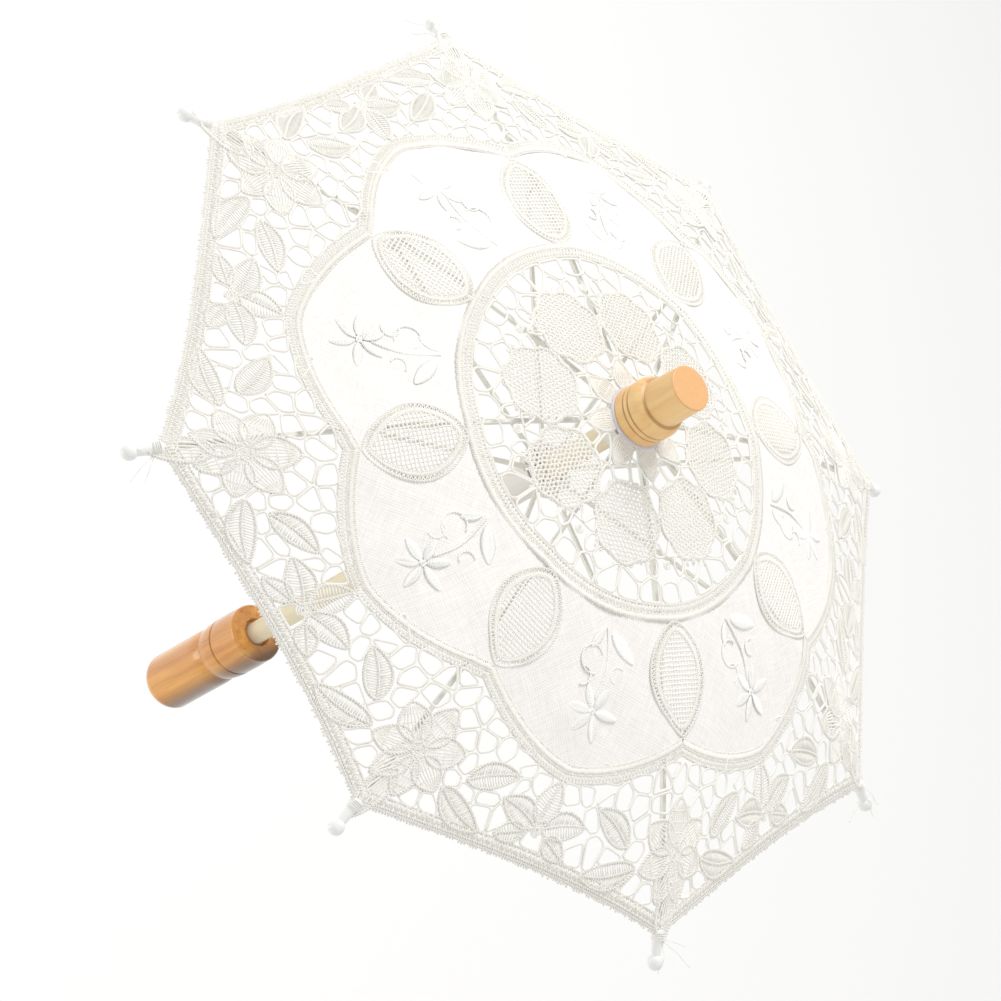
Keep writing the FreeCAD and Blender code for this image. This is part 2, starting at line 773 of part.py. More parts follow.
def make_canopy(number, azimuth):
    """The canopy from mid-gore to mid-gore over one rib, as a plain cloth solid with a curved-in hem."""
    half = math.radians(pitch.value / 2)
    corner = cloth_corner_radius.value
    bow = cloth_hem_radius.value
    hem_centre = corner * math.cos(half) + math.sqrt(bow**2 - (corner * math.sin(half))**2)
    cloth = half_gore(1).fuse(half_gore(-1))
    tools = [Part.makeCylinder(cloth_inner_radius.value, 250, FreeCAD.Vector(0, 0, 150))]
    for side in (1, -1):
        spot = FreeCAD.Vector(hem_centre * math.cos(half), side * hem_centre * math.sin(half), 150)
        tools.append(Part.makeCylinder(bow, 250, spot))
    cloth = cloth.cut(tools[0]).cut(tools[1]).cut(tools[2]).removeSplitter()
    feature = doc.addObject("Part::Feature", f"canopy_{number}")
    feature.Shape = cloth if cloth.ShapeType == "Solid" else cloth.Solids[0]
    place(feature, 0, 0, azimuth)
    return named(feature, f"canopy_{number}")


def ring_plate(label, radius, thickness, bottom):
    """A flat ring round the shaft."""
    disc = doc.addObject("Part::Cylinder", f"{label}_disc")
    hole = doc.addObject("Part::Cylinder", f"{label}_hole")
    for item, size in ((disc, radius), (hole, shaft_bore)):
        item.setExpression("Radius", size.text)
        item.setExpression("Height", thickness.text)
    ring = doc.addObject("Part::Cut", label)
    ring.Base = disc
    ring.Tool = hole
    place(ring, 0, bottom, 0)
    return named(ring, label)


# ---------------------------------------------------------------- build, check and write
make_handle()
make_shaft()
make_ferrule()
ring_plate("top_washer", washer_radius, washer_thickness, ferrule_base - washer_thickness)
ring_plate("canopy_centre", cloth_centre_radius, cloth_thickness, notch_height + crown_lip + 0.1)
make_notch()
make_wire("notch_wire", notch_height)
make_pins()
make_catch()
make_runner()
make_wire("runner_wire", runner_height)
for rib_number in range(1, RIBS + 1):
    at = pitch * (rib_number - 1)
    make_rib(rib_number, at)
    make_clip(rib_number, at)
    make_rivet(rib_number, at)
    make_tip(rib_number, at)
    make_stretcher(rib_number, at)
    make_canopy(rib_number, at)
doc.recompute()

broken = [o.Name for o in doc.Objects if "Invalid" in o.State or "Error" in o.State]
if broken:
    raise RuntimeError(f"these objects failed to recompute: {broken}")
os.makedirs("parts", exist_ok=True)
for part in parts:
    shape = part.Shape
    if shape.isNull() or not shape.isValid():
        raise RuntimeError(f"{part.Label} has no valid shape")
    shape.exportStep(f"parts/{part.Label}.step")
print(f"wrote {len(parts)} sub-parts")
print(f"rivet at {rivet_out.value:.4f}, {rivet_up.value:.4f}; runner ring at {runner_height.value:.4f}")
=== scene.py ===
# %% [markdown]
# # A small lace parasol
# The parasol is a turned wooden stick with a folding wire-and-strip frame and a canopy of white tape lace
# and linen. The frame was drawn in CAD and is loaded here with its real sizes and joints. This lesson adds
# what CAD leaves out: the woods and plastics as they look, and the canopy thread by thread.
# All sizes are in metres; the lace is drawn flat, in plan, and then laid over the ribs.

# %% Load the frame
import math
import random

import bpy
import numpy as np
from mathutils import Matrix, Vector


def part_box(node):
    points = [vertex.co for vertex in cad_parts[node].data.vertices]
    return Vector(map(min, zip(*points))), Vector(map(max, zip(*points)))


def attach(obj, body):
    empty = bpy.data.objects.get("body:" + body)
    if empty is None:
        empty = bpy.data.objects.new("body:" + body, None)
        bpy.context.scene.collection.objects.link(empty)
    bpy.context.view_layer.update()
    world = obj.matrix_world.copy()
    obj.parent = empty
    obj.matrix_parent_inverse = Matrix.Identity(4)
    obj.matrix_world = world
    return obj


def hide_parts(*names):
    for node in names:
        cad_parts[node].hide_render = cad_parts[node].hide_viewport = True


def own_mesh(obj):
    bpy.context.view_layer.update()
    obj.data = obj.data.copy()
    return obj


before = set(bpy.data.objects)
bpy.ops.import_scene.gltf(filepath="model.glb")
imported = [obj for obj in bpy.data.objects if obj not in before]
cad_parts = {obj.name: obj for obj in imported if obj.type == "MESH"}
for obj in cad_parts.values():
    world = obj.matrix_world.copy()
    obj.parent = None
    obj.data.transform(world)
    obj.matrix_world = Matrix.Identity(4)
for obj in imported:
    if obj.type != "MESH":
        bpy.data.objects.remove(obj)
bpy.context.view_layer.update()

MM = 0.001
TAU = 2 * math.pi

# %% [markdown]
# ## Where the ribs and the cloth are
# Eight ribs stand 45 degrees apart. Between two ribs the cloth is pulled straight, so the open canopy is an
# eight-sided dome: its height depends on how far along the ribs a point lies, and a point between ribs
# belongs to the same straight line as the two points on the ribs. One height rule then serves every thread.

# %% Sizes taken from the frame
RIBS = 8
PITCH = TAU / RIBS
HALF = PITCH / 2
tip_low, tip_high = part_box("rib_tip_1")
BALL = 2.9 * MM
REACH = tip_high[0] - BALL
CLOTH_ARC = 484 * MM
CLOTH_CENTRE_IN = 37.5 * MM
CLOTH_TOP = 304.8 * MM
CENTRE_HOLE = 12 * MM
CLOTH_DATUM = CLOTH_TOP - math.sqrt(CLOTH_ARC**2 - (CENTRE_HOLE + CLOTH_CENTRE_IN)**2)
CORNER = 180.5 * MM
HEM_ARC = 900 * MM
print("the tips' balls stand", round(REACH, 4), "m from the shaft's axis")


def dome(x, y):
    """Height of the cloth's underside over a place in plan."""
    out = np.hypot(x, y)
    off = np.abs((np.arctan2(y, x) + HALF) % PITCH - HALF)
    along = out * np.cos(HALF - off) / math.cos(HALF)
    return CLOTH_DATUM + np.sqrt(CLOTH_ARC**2 - (along + CLOTH_CENTRE_IN)**2)


# %% [markdown]
# ## The way the lace sits on the frame
# Lace like this is made flat as one round piece and then sewn to the ribs by its eight corners. On this
# parasol the middle was sewn on a little turned, so its figures sit about four degrees past the ribs, and
# the twist dies away towards the hem. Drawing every figure untwisted and turning it at the end keeps each
# figure's own numbers simple.

# %% Twist and draping
TWIST = math.radians(4.2)
TWIST_ENDS = 0.93 * REACH
TWIST_STARTS = 0.6 * REACH


def draped(flat, lift):
    """Turn drawn places into places on the canopy, lift above the cloth's underside."""
    out = np.hypot(flat[:, 0], flat[:, 1])
    share = np.clip((TWIST_ENDS - out) / (TWIST_ENDS - TWIST_STARTS), 0, 1)
    turn = TWIST * share
    x = flat[:, 0] * np.cos(turn) - flat[:, 1] * np.sin(turn)
    y = flat[:, 0] * np.sin(turn) + flat[:, 1] * np.cos(turn)
    return np.stack([x, y, dome(x, y) + lift], axis=1)


def polar(out, angle):
    """Places drawn flat, from how far out and which way they lie."""
    return np.stack([out * np.cos(angle), out * np.sin(angle)], axis=-1)


def spun(places, turn):
    """Places drawn flat, turned round the shaft."""
    c, s = math.cos(turn), math.sin(turn)
    return np.stack([places[:, 0] * c - places[:, 1] * s, places[:, 0] * s + places[:, 1] * c], axis=1)


print("the lace sits", round(math.degrees(TWIST), 1), "degrees past the ribs in the middle")

# %% [markdown]
# ## From corners to a mesh
# Blender can take a mesh one face at a time, but this canopy has over a million faces. Handing over whole
# arrays of corners and faces takes a moment instead of minutes, so every drawn piece is made by this one
# helper. It links the piece to the scene and gives it its finish.

# %% Make a mesh object from arrays
def solid(name, corners, faces, finish):
    """A smooth mesh object from corner places and four-sided faces."""
    mesh = bpy.data.meshes.new(name)
    mesh.vertices.add(len(corners))
    mesh.vertices.foreach_set("co", np.ascontiguousarray(corners, np.float32).ravel())
    mesh.loops.add(4 * len(faces))
    mesh.loops.foreach_set("vertex_index", np.ascontiguousarray(faces, np.int32).ravel())
    mesh.polygons.add(len(faces))
    mesh.polygons.foreach_set("loop_start", np.arange(0, 4 * len(faces), 4, dtype=np.int32))
    mesh.polygons.foreach_set("use_smooth", np.ones(len(faces), bool))
    mesh.update(calc_edges=True)
    mesh.validate()
    mesh.materials.append(finish)
    made = bpy.data.objects.new(name, mesh)
    bpy.context.collection.objects.link(made)
    return made


print("pieces are made from corners and four-sided faces")

# %% [markdown]
# ## Threads
# A thread is a thin tube that follows a line. Blender's curve objects could draw them, but a canopy has
# thousands, and joining that many curves is slow. Here every line is swept into one shared list of corners
# and four-sided faces, with its two ends closed, so a gore's lace becomes a single closed mesh at once.

# %% A bundle of threads
ROUND = 4
LACE_LIFT = 0.55 * MM
BAR_CORNERS = 8
BAR_FACES = np.array([
    [0, 4, 5, 1], [1, 5, 6, 2], [2, 6, 7, 3], [3, 7, 4, 0], [0, 1, 2, 3], [7, 6, 5, 4],
])


class Threads:
    """Lines drawn flat, collected for one gore, then swept into tubes over the canopy."""

    def __init__(self, turn):
        self.turn = turn
        self.corners = []
        self.faces = []
        self.count = 0

    def sweep(self, line, radius, closed=False):
        """A tube round a line in space, with flat ends unless the line is closed."""
        if closed:
            ahead, behind = np.roll(line, -1, axis=0), np.roll(line, 1, axis=0)
        else:
            ahead, behind = np.vstack([line[1:], line[-1:]]), np.vstack([line[:1], line[:-1]])
        along = ahead - behind
        along /= np.linalg.norm(along, axis=1)[:, None] + 1e-12
        side = np.cross(along, (0.0, 0.0, 1.0))
        side /= np.linalg.norm(side, axis=1)[:, None] + 1e-12
        over = np.cross(side, along)
        step = np.arange(ROUND) * TAU / ROUND
        ring = np.cos(step)[None, :, None] * side[:, None] + np.sin(step)[None, :, None] * over[:, None]
        thick = np.broadcast_to(np.asarray(radius, float), (len(line),))
        points = line[:, None] + ring * thick[:, None, None]
        rows = len(line)
        here = np.arange(rows if closed else rows - 1)
        after = (here + 1) % rows
        spot = np.arange(ROUND)
        nearby = (spot + 1) % ROUND
        quads = np.stack([
            here[:, None] * ROUND + spot, after[:, None] * ROUND + spot,
            after[:, None] * ROUND + nearby, here[:, None] * ROUND + nearby,
        ], axis=-1).reshape(-1, 4)
        if not closed:
            last = (rows - 1) * ROUND
            for cut in range(1, ROUND - 2, 2):
                cap = np.array([0, cut, cut + 1, cut + 2])
                quads = np.vstack([quads, cap, last + cap[::-1]])
        self.corners.append(points.reshape(-1, 3))
        self.faces.append(quads + self.count)
        self.count += rows * ROUND

    def lay(self, flat, radius, lift=0.0, closed=False):
        """Lay a line drawn flat in this gore over the canopy."""
        self.sweep(draped(spun(flat, self.turn), LACE_LIFT + lift), radius, closed)

    def bars(self, starts, ends, radius, lift=0.0):
        """Many short straight threads, all of them in one go."""
        if not len(starts):
            return
        placed = draped(spun(np.concatenate([starts, ends]), self.turn), LACE_LIFT + lift)
        a, b = placed[:len(starts)], placed[len(starts):]
        along = (b - a) / (np.linalg.norm(b - a, axis=1)[:, None] + 1e-12)
        side = np.cross(along, (0.0, 0.0, 1.0))
        over = np.cross(side, along)
        ring = np.stack([side, over, -side, -over], axis=1) * radius
        points = np.concatenate([a[:, None] + ring, b[:, None] + ring], axis=1)
        offsets = self.count + BAR_CORNERS * np.arange(len(a))
        self.corners.append(points.reshape(-1, 3))
        self.faces.append((BAR_FACES[None] + offsets[:, None, None]).reshape(-1, 4))
        self.count += BAR_CORNERS * len(a)

    def piece(self, name, finish):
        """Make the mesh object."""
        return solid(name, np.concatenate(self.corners), np.concatenate(self.faces), finish)


print("threads have", ROUND, "sides and lie", round(LACE_LIFT / MM, 2), "mm over the underside")

# %% [markdown]
# ## Finishes written as sums
# A finish is a small network of nodes. Written as plain sums it reads like the recipe it is, so one class
# wraps a socket and turns + - * into Math nodes, and one method adds any other node.

# %% A socket that can be added and multiplied
class Signal:
    """The output of a node, ready to stand in a sum."""

    def __init__(self, finish, socket):
        self.finish = finish
        self.socket = socket

    def __add__(self, other):
        return self.finish.maths("ADD", self, other)

    def __sub__(self, other):
        return self.finish.maths("SUBTRACT", self, other)

    def __rsub__(self, other):
        return self.finish.maths("SUBTRACT", other, self)

    def __mul__(self, other):
        return self.finish.maths("MULTIPLY", self, other)

    def above(self, edge):
        return self.finish.maths("GREATER_THAN", self, edge)

    __radd__ = __add__
    __rmul__ = __mul__


print("signals add, subtract, multiply and compare")


# %% A material and the nodes in it
class Finish:
    """One material: constants are set on the shader, and what varies is linked to it."""

    def __init__(self, name, **constants):
        self.material = bpy.data.materials.new(name)
        self.material.use_nodes = True
        self.shader = self.material.node_tree.nodes["Principled BSDF"]
        for socket, value in constants.items():
            self.shader.inputs[socket.replace("_", " ")].default_value = value

    def node(self, kind, settings=None, inputs=None, output=0):
        """Add a node: its type, its settings, then the values or links of its sockets."""
        node = self.material.node_tree.nodes.new("ShaderNode" + kind)
        for setting, value in (settings or {}).items():
            if setting == "stops":
                for stop, (place, colour) in zip(node.color_ramp.elements, value):
                    stop.position, stop.color = place, (*colour, 1)
            else:
                setattr(node, setting, value)
        for socket, value in (inputs or {}).items():
            self.join(node.inputs[socket], value)
        return Signal(self, node.outputs[output])

    def join(self, socket, value):
        """Link a signal to a socket, or set the socket to a plain value."""
        if isinstance(value, Signal):
            self.material.node_tree.links.new(value.socket, socket)
        else:
            socket.default_value = value

    def maths(self, operation, first, second):
        return self.node("Math", {"operation": operation}, {0: first, 1: second})

    def mixed(self, share, first, second):
        """A colour between two colours."""
        colours = [c if isinstance(c, Signal) else (*c, 1) for c in (first, second)]
        return self.node("Mix", {"data_type": "RGBA"}, {0: share, 6: colours[0], 7: colours[1]}, output=2)

    def place(self, stretch):
        """The place on the piece, stretched so that a pattern runs along the grain."""
        spot = self.node("TexCoord", output=3)
        return self.node("VectorMath", {"operation": "MULTIPLY"}, {0: spot, 1: stretch})

    def noise(self, stretch, detail=3.0, distortion=0.0):
        """Uneven patches between 0 and 1; a larger stretch makes them smaller along that axis."""
        inputs = {"Vector": self.place(stretch), "Scale": 1.0, "Detail": detail, "Distortion": distortion}
        return self.node("TexNoise", None, inputs)

    def wear(self, colour, roughness, height=None, depth=0.1 * MM):
        """Link what varies over the surface to the shader."""
        self.join(self.shader.inputs["Base Color"], colour)
        self.join(self.shader.inputs["Roughness"], roughness)
        if height is not None:
            bump = self.node("Bump", None, {"Strength": 1.0, "Distance": depth, "Height": height})
            self.join(self.shader.inputs["Normal"], bump)
        return self.material


print("finishes are ready to be mixed")

# %% [markdown]
# ## Cotton and linen
# Lace thread is mercerised cotton: nearly white, matt, with a soft sheen along the fibres. A fine noise
# gives the fibres and a broad one the slight yellowing of handled cotton. The sprigs are worked in stranded
# floss, which is whiter and silkier than the lace. The linen has a visible plain weave, so two wave patterns
# cross on a flat map that the linen carries with it. Two noises stretched along the same threads add slubs,
# the places where a thread is thicker; both lift the surface as well as tint it.

# %% Mix the cloths
def cotton():
    finish = Finish("cotton_thread", Sheen_Weight=0.25, Sheen_Roughness=0.6)
    fibre = finish.noise((2600, 2600, 2600), 2)
    age = finish.noise((38, 38, 38), 3)
    colour = finish.mixed(age * 0.7 + fibre * 0.3, (0.935, 0.922, 0.880), (0.850, 0.830, 0.765))
    return finish.wear(colour, 0.78 + fibre * 0.15, fibre, 0.08 * MM)


def floss():
    """Stranded embroidery floss: whiter than the lace and silkier."""
    finish = Finish("satin_floss", Sheen_Weight=0.35, Sheen_Roughness=0.35)
    fibre = finish.noise((2200, 2200, 2200), 2)
    colour = finish.mixed(fibre, (0.985, 0.982, 0.965), (0.945, 0.940, 0.915))
    return finish.wear(colour, 0.50 + fibre * 0.15, fibre, 0.05 * MM)


def linen():
    finish = Finish("fine_linen", Sheen_Weight=0.2, Sheen_Roughness=0.5)
    spot = finish.node("UVMap", {"uv_map": "weave"})
    slubs, waves = [], []
    for direction, stretch in (("X", (1300, 110, 1)), ("Y", (110, 1300, 1))):
        settings = {"wave_type": "BANDS", "bands_direction": direction, "wave_profile": "SIN"}
        inputs = {"Vector": spot, "Scale": 330.0, "Distortion": 3.0, "Detail": 2.0, "Detail Scale": 1.2}
        waves.append(finish.node("TexWave", settings, inputs, output=1))
        along = finish.node("VectorMath", {"operation": "MULTIPLY"}, {0: spot, 1: stretch})
        slubs.append(finish.node("TexNoise", None, {"Vector": along, "Scale": 1.0, "Detail": 2.0}))
    weave = waves[0] * 0.5 + waves[1] * 0.5
    slub = slubs[0] * 0.5 + slubs[1] * 0.5
    colour = finish.mixed(weave * 0.35 + slub * 1.5 - 0.42, (0.760, 0.718, 0.690), (0.975, 0.955, 0.932))
    return finish.wear(colour, 0.8 + slub * 0.12, weave * 0.6 + slub, 0.12 * MM)


COTTON = cotton()
FLOSS = floss()
LINEN = linen()
print("cloth finishes:", COTTON.name, FLOSS.name, LINEN.name)

# %% [markdown]
# ## Woods, plastics and metals
# The stick is one light hardwood shown three ways: the handle is varnished to a warm orange, the ferrule is
# only waxed, and the shaft is bare. Grain follows the length of the stick, so the noise is stretched along Z.
# The end grain of the ferrule drinks more wax and is darker. The turned grooves get dark lines at their own
# heights, painted shade where the grooves would hold shadow, and one side of the handle is painted almost
# black: painted shade, not a stain. Tips, notch and runner are moulded plastic, and the ribs are pressed
# strip under a pale grey enamel.

# %% How wood looks
# colour of the dark lines along the turned grooves: painted shade
GROOVE_SHADE_COLOUR = (0.20, 0.075, 0.018)
# the way the handle's painted shade faces: the side turned away from the key light
PAINTED_SHADE_SIDE = (math.cos(math.radians(-22)), math.sin(math.radians(-22)), 0.0)


def wood(name, pale, deep, streak, gloss, end_grain=None, end_height=0.0, groove_shade=(), painted_shade=0.0,
         **constants):
    """Turned wood: figure and pores along Z, end grain above a height, painted shade in grooves and on one
    side.
    """
    finish = Finish(name, **constants)
    spot = finish.node("TexCoord", output=3)
    height = finish.node("SeparateXYZ", None, {0: spot}, output=2)
    grain = finish.noise((520, 520, 26), 4, 0.6)
    figure = finish.noise((95, 95, 9), 3, 1.4)
    pore = finish.noise((1900, 1900, 110), 2)
    settings = {"stops": [(0.32, deep), (0.68, pale)]}
    body = finish.node("ValToRGB", settings, {"Fac": figure * 0.6 + grain * 0.4})
    colour = finish.mixed((grain - 0.55) * streak, body, deep)
    colour = finish.mixed((pore - 0.62) * 1.2, colour, [c * 0.6 for c in deep])
    # painted shade: one side of the handle darkened almost to black
    if painted_shade:
        side = finish.node("VectorMath", {"operation": "DOT_PRODUCT"}, {0: spot, 1: PAINTED_SHADE_SIDE}, output=1)
        run = finish.node("MapRange", {"interpolation_type": "SMOOTHSTEP"},
                          {0: side + figure * 2 * MM, 1: 3.5 * MM, 2: 12.5 * MM, 3: 0.0, 4: painted_shade})
        colour = finish.mixed(run, colour, [c * 0.12 for c in deep])
    # painted shade: a dark line along each turned groove
    for line in groove_shade:
        gap = finish.maths("ABSOLUTE", height - line, 0.0)
        dark = finish.node("MapRange", {"interpolation_type": "SMOOTHSTEP"},
                           {0: gap, 1: 0.1 * MM, 2: 0.5 * MM, 3: 0.5, 4: 0.0})
        colour = finish.mixed(dark, colour, GROOVE_SHADE_COLOUR)
    if end_grain:
        rings = finish.noise((900, 900, 20), 3)
        end = finish.mixed(rings * 0.8, end_grain, [c * 0.78 for c in end_grain])
        colour = finish.mixed(height.above(end_height), colour, end)
    return finish.wear(colour, gloss + grain * 0.22, grain * 0.6 + pore * 0.4, 0.10 * MM)


print("wood runs along Z")


# %% How moulded and enamelled pieces look
def moulded(name, colour, gloss, **constants):
    """Moulded or enamelled: a quiet colour, faint flow marks and a slightly uneven gloss."""
    finish = Finish(name, **constants)
    flow = finish.noise((60, 60, 24), 3)
    speck = finish.noise((900, 900, 900), 2)
    tint = finish.mixed(flow * 0.6 + speck * 0.2, colour, [c * 0.86 for c in colour])
    return finish.wear(tint, gloss + flow * 0.16, speck * 0.5 + flow * 0.5, 0.04 * MM)


print("moulded pieces have faint flow marks")

# %% Mix the hard finishes
# heights of the handle's and ferrule's grooves, where lines of painted shade are drawn
HANDLE_GROOVES = (42.4 * MM, 51.5 * MM)
FERRULE_GROOVES = (4.35, 6.75, 13.5)
# the handle carries painted shade down one side and in its grooves
HANDLE = wood("varnished_wood", (0.84, 0.42, 0.075), (0.52, 0.17, 0.020), 2.0, 0.20,
              groove_shade=HANDLE_GROOVES, painted_shade=0.9, Coat_Weight=0.9, Coat_Roughness=0.10)
ferrule_low, ferrule_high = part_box("ferrule")
FERRULE = wood("waxed_wood", (0.93, 0.66, 0.31), (0.82, 0.45, 0.15), 1.0, 0.30,
               end_grain=(0.86, 0.47, 0.20), end_height=ferrule_high[2] - 0.5 * MM,
               groove_shade=[ferrule_low[2] + up * MM for up in FERRULE_GROOVES],
               Coat_Weight=0.25, Coat_Roughness=0.25)
SHAFT = wood("bare_wood", (0.84, 0.77, 0.58), (0.72, 0.62, 0.42), 0.8, 0.55)
ENAMEL = moulded("grey_enamel", (0.76, 0.75, 0.69), 0.36, Metallic=0.1)
STEEL = moulded("drawn_steel", (0.60, 0.59, 0.57), 0.28, Metallic=1.0)
CREAM = moulded("cream_plastic", (0.80, 0.77, 0.71), 0.38)
WHITE = moulded("white_plastic", (0.90, 0.90, 0.885), 0.22, Coat_Weight=0.3, Coat_Roughness=0.1)
LAVENDER = moulded("grey_plastic", (0.74, 0.72, 0.78), 0.42)
hard = (HANDLE, FERRULE, SHAFT, ENAMEL, STEEL, CREAM, WHITE, LAVENDER)
print("hard finishes:", ", ".join(finish.name for finish in hard))

# %% Paint the parts that come from the frame
PAINT = {
    "handle": HANDLE, "shaft": SHAFT, "ferrule": FERRULE, "top_washer": LAVENDER, "notch": CREAM,
    "notch_wire": STEEL, "shaft_pins": STEEL, "catch_spring": STEEL, "runner": CREAM, "runner_wire": STEEL,
}
for k in range(1, RIBS + 1):
    PAINT[f"rib_{k}"] = PAINT[f"rib_clip_{k}"] = PAINT[f"stretcher_{k}"] = ENAMEL
    PAINT[f"rib_rivet_{k}"] = STEEL
    PAINT[f"rib_tip_{k}"] = WHITE
for name, paint in PAINT.items():
    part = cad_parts[name]
    part.data.materials.clear()
    part.data.materials.append(paint)
print("painted", len(PAINT), "parts")

# %% [markdown]
# ## Drawing lines to sew along
# Tapes follow curves, so the curves need even steps and their own left-hand side. A tape on this parasol is
# a satin band of close stitches, then a ladder of open stitches, each side held by a two-ply cord. Handwork
# is never even, so every stitch is thrown off a little by dice that fall the same way on each run.

# %% Steps along a line, and the side of a line
def stepped(line, step):
    """The same line with even steps."""
    gaps = np.hypot(*np.diff(line, axis=0).T)
    run = np.concatenate([[0], np.cumsum(gaps)])
    count = max(2, int(run[-1] / step) + 1)
    at = np.linspace(0, run[-1], count)
    return np.stack([np.interp(at, run, line[:, 0]), np.interp(at, run, line[:, 1])], axis=1)


def leftward(line):
    """Unit vectors to the left of a line."""
    along = np.gradient(line, axis=0)
    along /= np.hypot(along[:, 0], along[:, 1])[:, None] + 1e-12
    return np.stack([-along[:, 1], along[:, 0]], axis=1)


print("lines have even steps and a left-hand side")

# %% Cords and stitches
dice = random.Random(8)
CORD_STEP = 0.42 * MM
CORD_TWIST = 2.1 * MM


def uneven_by(count):
    """Throws between -1 and 1."""
    return np.array([dice.uniform(-1, 1) for _ in range(count)])


def cord(threads, line, radius, lift=0.0):
    """A two-ply cord: two strands that turn round each other."""
    line = stepped(line, CORD_STEP)
    side = leftward(line)
    turn = np.arange(len(line)) * CORD_STEP / CORD_TWIST * TAU
    for phase in (0, math.pi):
        sway = 0.5 * radius * np.cos(turn + phase)
        threads.lay(line + side * sway[:, None], 0.62 * radius, lift + 0.5 * radius * np.sin(turn + phase))


def stitches(threads, line, near, far, pitch, radius, lift=0.0, uneven=0.0):
    """One thread that goes to and fro between two lines beside the drawn one."""
    line = stepped(line, pitch / 2)
    side = leftward(line)
    reach = np.where(np.arange(len(line)) % 2, near, far)
    reach = reach + uneven * uneven_by(len(line))
    ends = line + side * reach[:, None]
    threads.bars(ends[:-1], ends[1:], radius, lift)


print("two-ply cord and stitches are ready")

# %% [markdown]
# ## Cells
# Between the figures the lace is an open net of many-sided holes, each ringed by its own thread, so a bar
# between two holes is always two threads side by side. The holes are drawn from their middles: each middle
# owns the ground nearest to it, the corners of that patch are softened, and a thread runs round it. To make
# the net end neatly at a figure, each middle near the figure's edge is given an image on the other side of
# it. The images draw nothing, but the ground is then shared exactly along the edge.

# %% Ground nearest to each middle
NEIGHBOURS_TRIED = 28
FARTHEST_NEIGHBOUR = 2.6


def patches(middles, drawn, far):
    """For each drawn middle, the outline of the ground nearer to it than to any other middle."""
    found = []
    for index in drawn:
        here = middles[index]
        away = middles - here
        gap = np.hypot(away[:, 0], away[:, 1])
        order = np.argsort(gap)[1:]
        outline = [here + far * np.array(c) for c in ((-1, -1), (1, -1), (1, 1), (-1, 1))]
        owners = [-1] * 4
        for other in order[:NEIGHBOURS_TRIED]:
            if gap[other] > FARTHEST_NEIGHBOUR * far:
                break
            normal = away[other]
            limit = 0.5 * gap[other]**2
            depth = [float((p - here) @ normal) - limit for p in outline]
            if max(depth) <= 0:
                continue
            kept, kept_owners = [], []
            for i, point in enumerate(outline):
                j = (i + 1) % len(outline)
                if depth[i] <= 0:
                    kept.append(point)
                    kept_owners.append(owners[i])
                if (depth[i] <= 0) != (depth[j] <= 0):
                    share = depth[i] / (depth[i] - depth[j])
                    kept.append(point + share * (outline[j] - point))
                    kept_owners.append(int(other) if depth[i] <= 0 else owners[i])
            outline, owners = kept, kept_owners
            if len(outline) < 3:
                break
        if len(outline) >= 3:
            found.append((index, np.array(outline), owners))
    return found


print("each middle is cut against at most", NEIGHBOURS_TRIED, "neighbours")

# %% Softened corners
BAR = 0.56 * MM
CORNER_CUT = 0.17
CORNER_PASSES = 2


def rounded(outline, inset):
    """Pull an outline in a little and soften its corners."""
    middle = outline.mean(axis=0)
    spread = np.hypot(*(outline - middle).T).mean()
    outline = middle + (outline - middle) * max(0.2, 1 - inset / spread)
    near, far = 1 - CORNER_CUT, CORNER_CUT
    for _ in range(CORNER_PASSES):
        after = np.roll(outline, -1, axis=0)
        pairs = np.stack([near * outline + far * after, far * outline + near * after], axis=1)
        outline = pairs.reshape(-1, 2)
    return outline


print("a bar between two holes is", round(4 * BAR / MM, 2), "mm wide")

# %% [markdown]
# ## Figures
# A petal is cloth stitch: threads that run its length, held by cross threads, inside a cord. The leaves
# round it are ribbed: close stitches lean from a midrib to a thick edge. A medallion is a small fine net
# inside a scalloped cord, and a rosette is a coil. All leaves and petals share one outline.

# %% The outline of a leaf
STATIONS = np.arange(17)
LAST = 16


def leaf_outline(base, angle, length, width, blunt=0.8, bend=0.0):
    """A leaf from its base: its midline, and the way from there to its left edge."""
    share = np.linspace(0.0, 1.0, len(STATIONS))
    half = 0.5 * width * np.sin(math.pi * share**blunt)**0.75
    sway = bend * length * np.sin(math.pi * share)
    along = np.array([math.cos(angle), math.sin(angle)])
    across = np.array([-along[1], along[0]])
    middle = base + share[:, None] * length * along + sway[:, None] * across
    return middle, half[:, None] * across


def leaf_edge(base, angle, length, width, blunt=0.8, bend=0.0):
    """The closed outline of a leaf."""
    middle, half = leaf_outline(np.asarray(base), angle, length, width, blunt, bend)
    edge = np.concatenate([middle + half, (middle - half)[-2:0:-1]])
    return np.concatenate([edge, edge[:1]])


def at_station(step, rows):
    """The place between two stations of a line along a leaf."""
    return np.array([np.interp(step, STATIONS, rows[:, i]) for i in (0, 1)])


print("a leaf has", len(STATIONS), "stations")


# %% Petals in cloth stitch and ribbed leaves
def woven_leaf(threads, base, angle, length, width, blunt=0.8, bend=0.0, pitch=1.22 * MM):
    """A petal or leaf in cloth stitch."""
    middle, half = leaf_outline(np.asarray(base), angle, length, width, blunt, bend)
    count = max(3, int(width / pitch) | 1)
    for share in np.linspace(-0.84, 0.84, count):
        wobble = 0.12 * MM * uneven_by(len(middle))
        threads.lay(middle[1:-1] + share * half[1:-1] + wobble[1:-1, None], 0.45 * MM, 0.05 * MM)
    steps = np.linspace(1, LAST - 1, max(3, int(length / (2.9 * MM))))
    cross = []
    for number, step in enumerate(steps):
        at, wide = at_station(step, middle), at_station(step, half)
        ends = [at - wide, at + wide]
        cross += ends if number % 2 else ends[::-1]
    cross = np.array(cross)
    threads.bars(cross[:-1], cross[1:], 0.30 * MM, 0.22 * MM)
    edge = leaf_edge(base, angle, length, width, blunt, bend)
    cord(threads, edge, 0.70 * MM, 0.15 * MM)


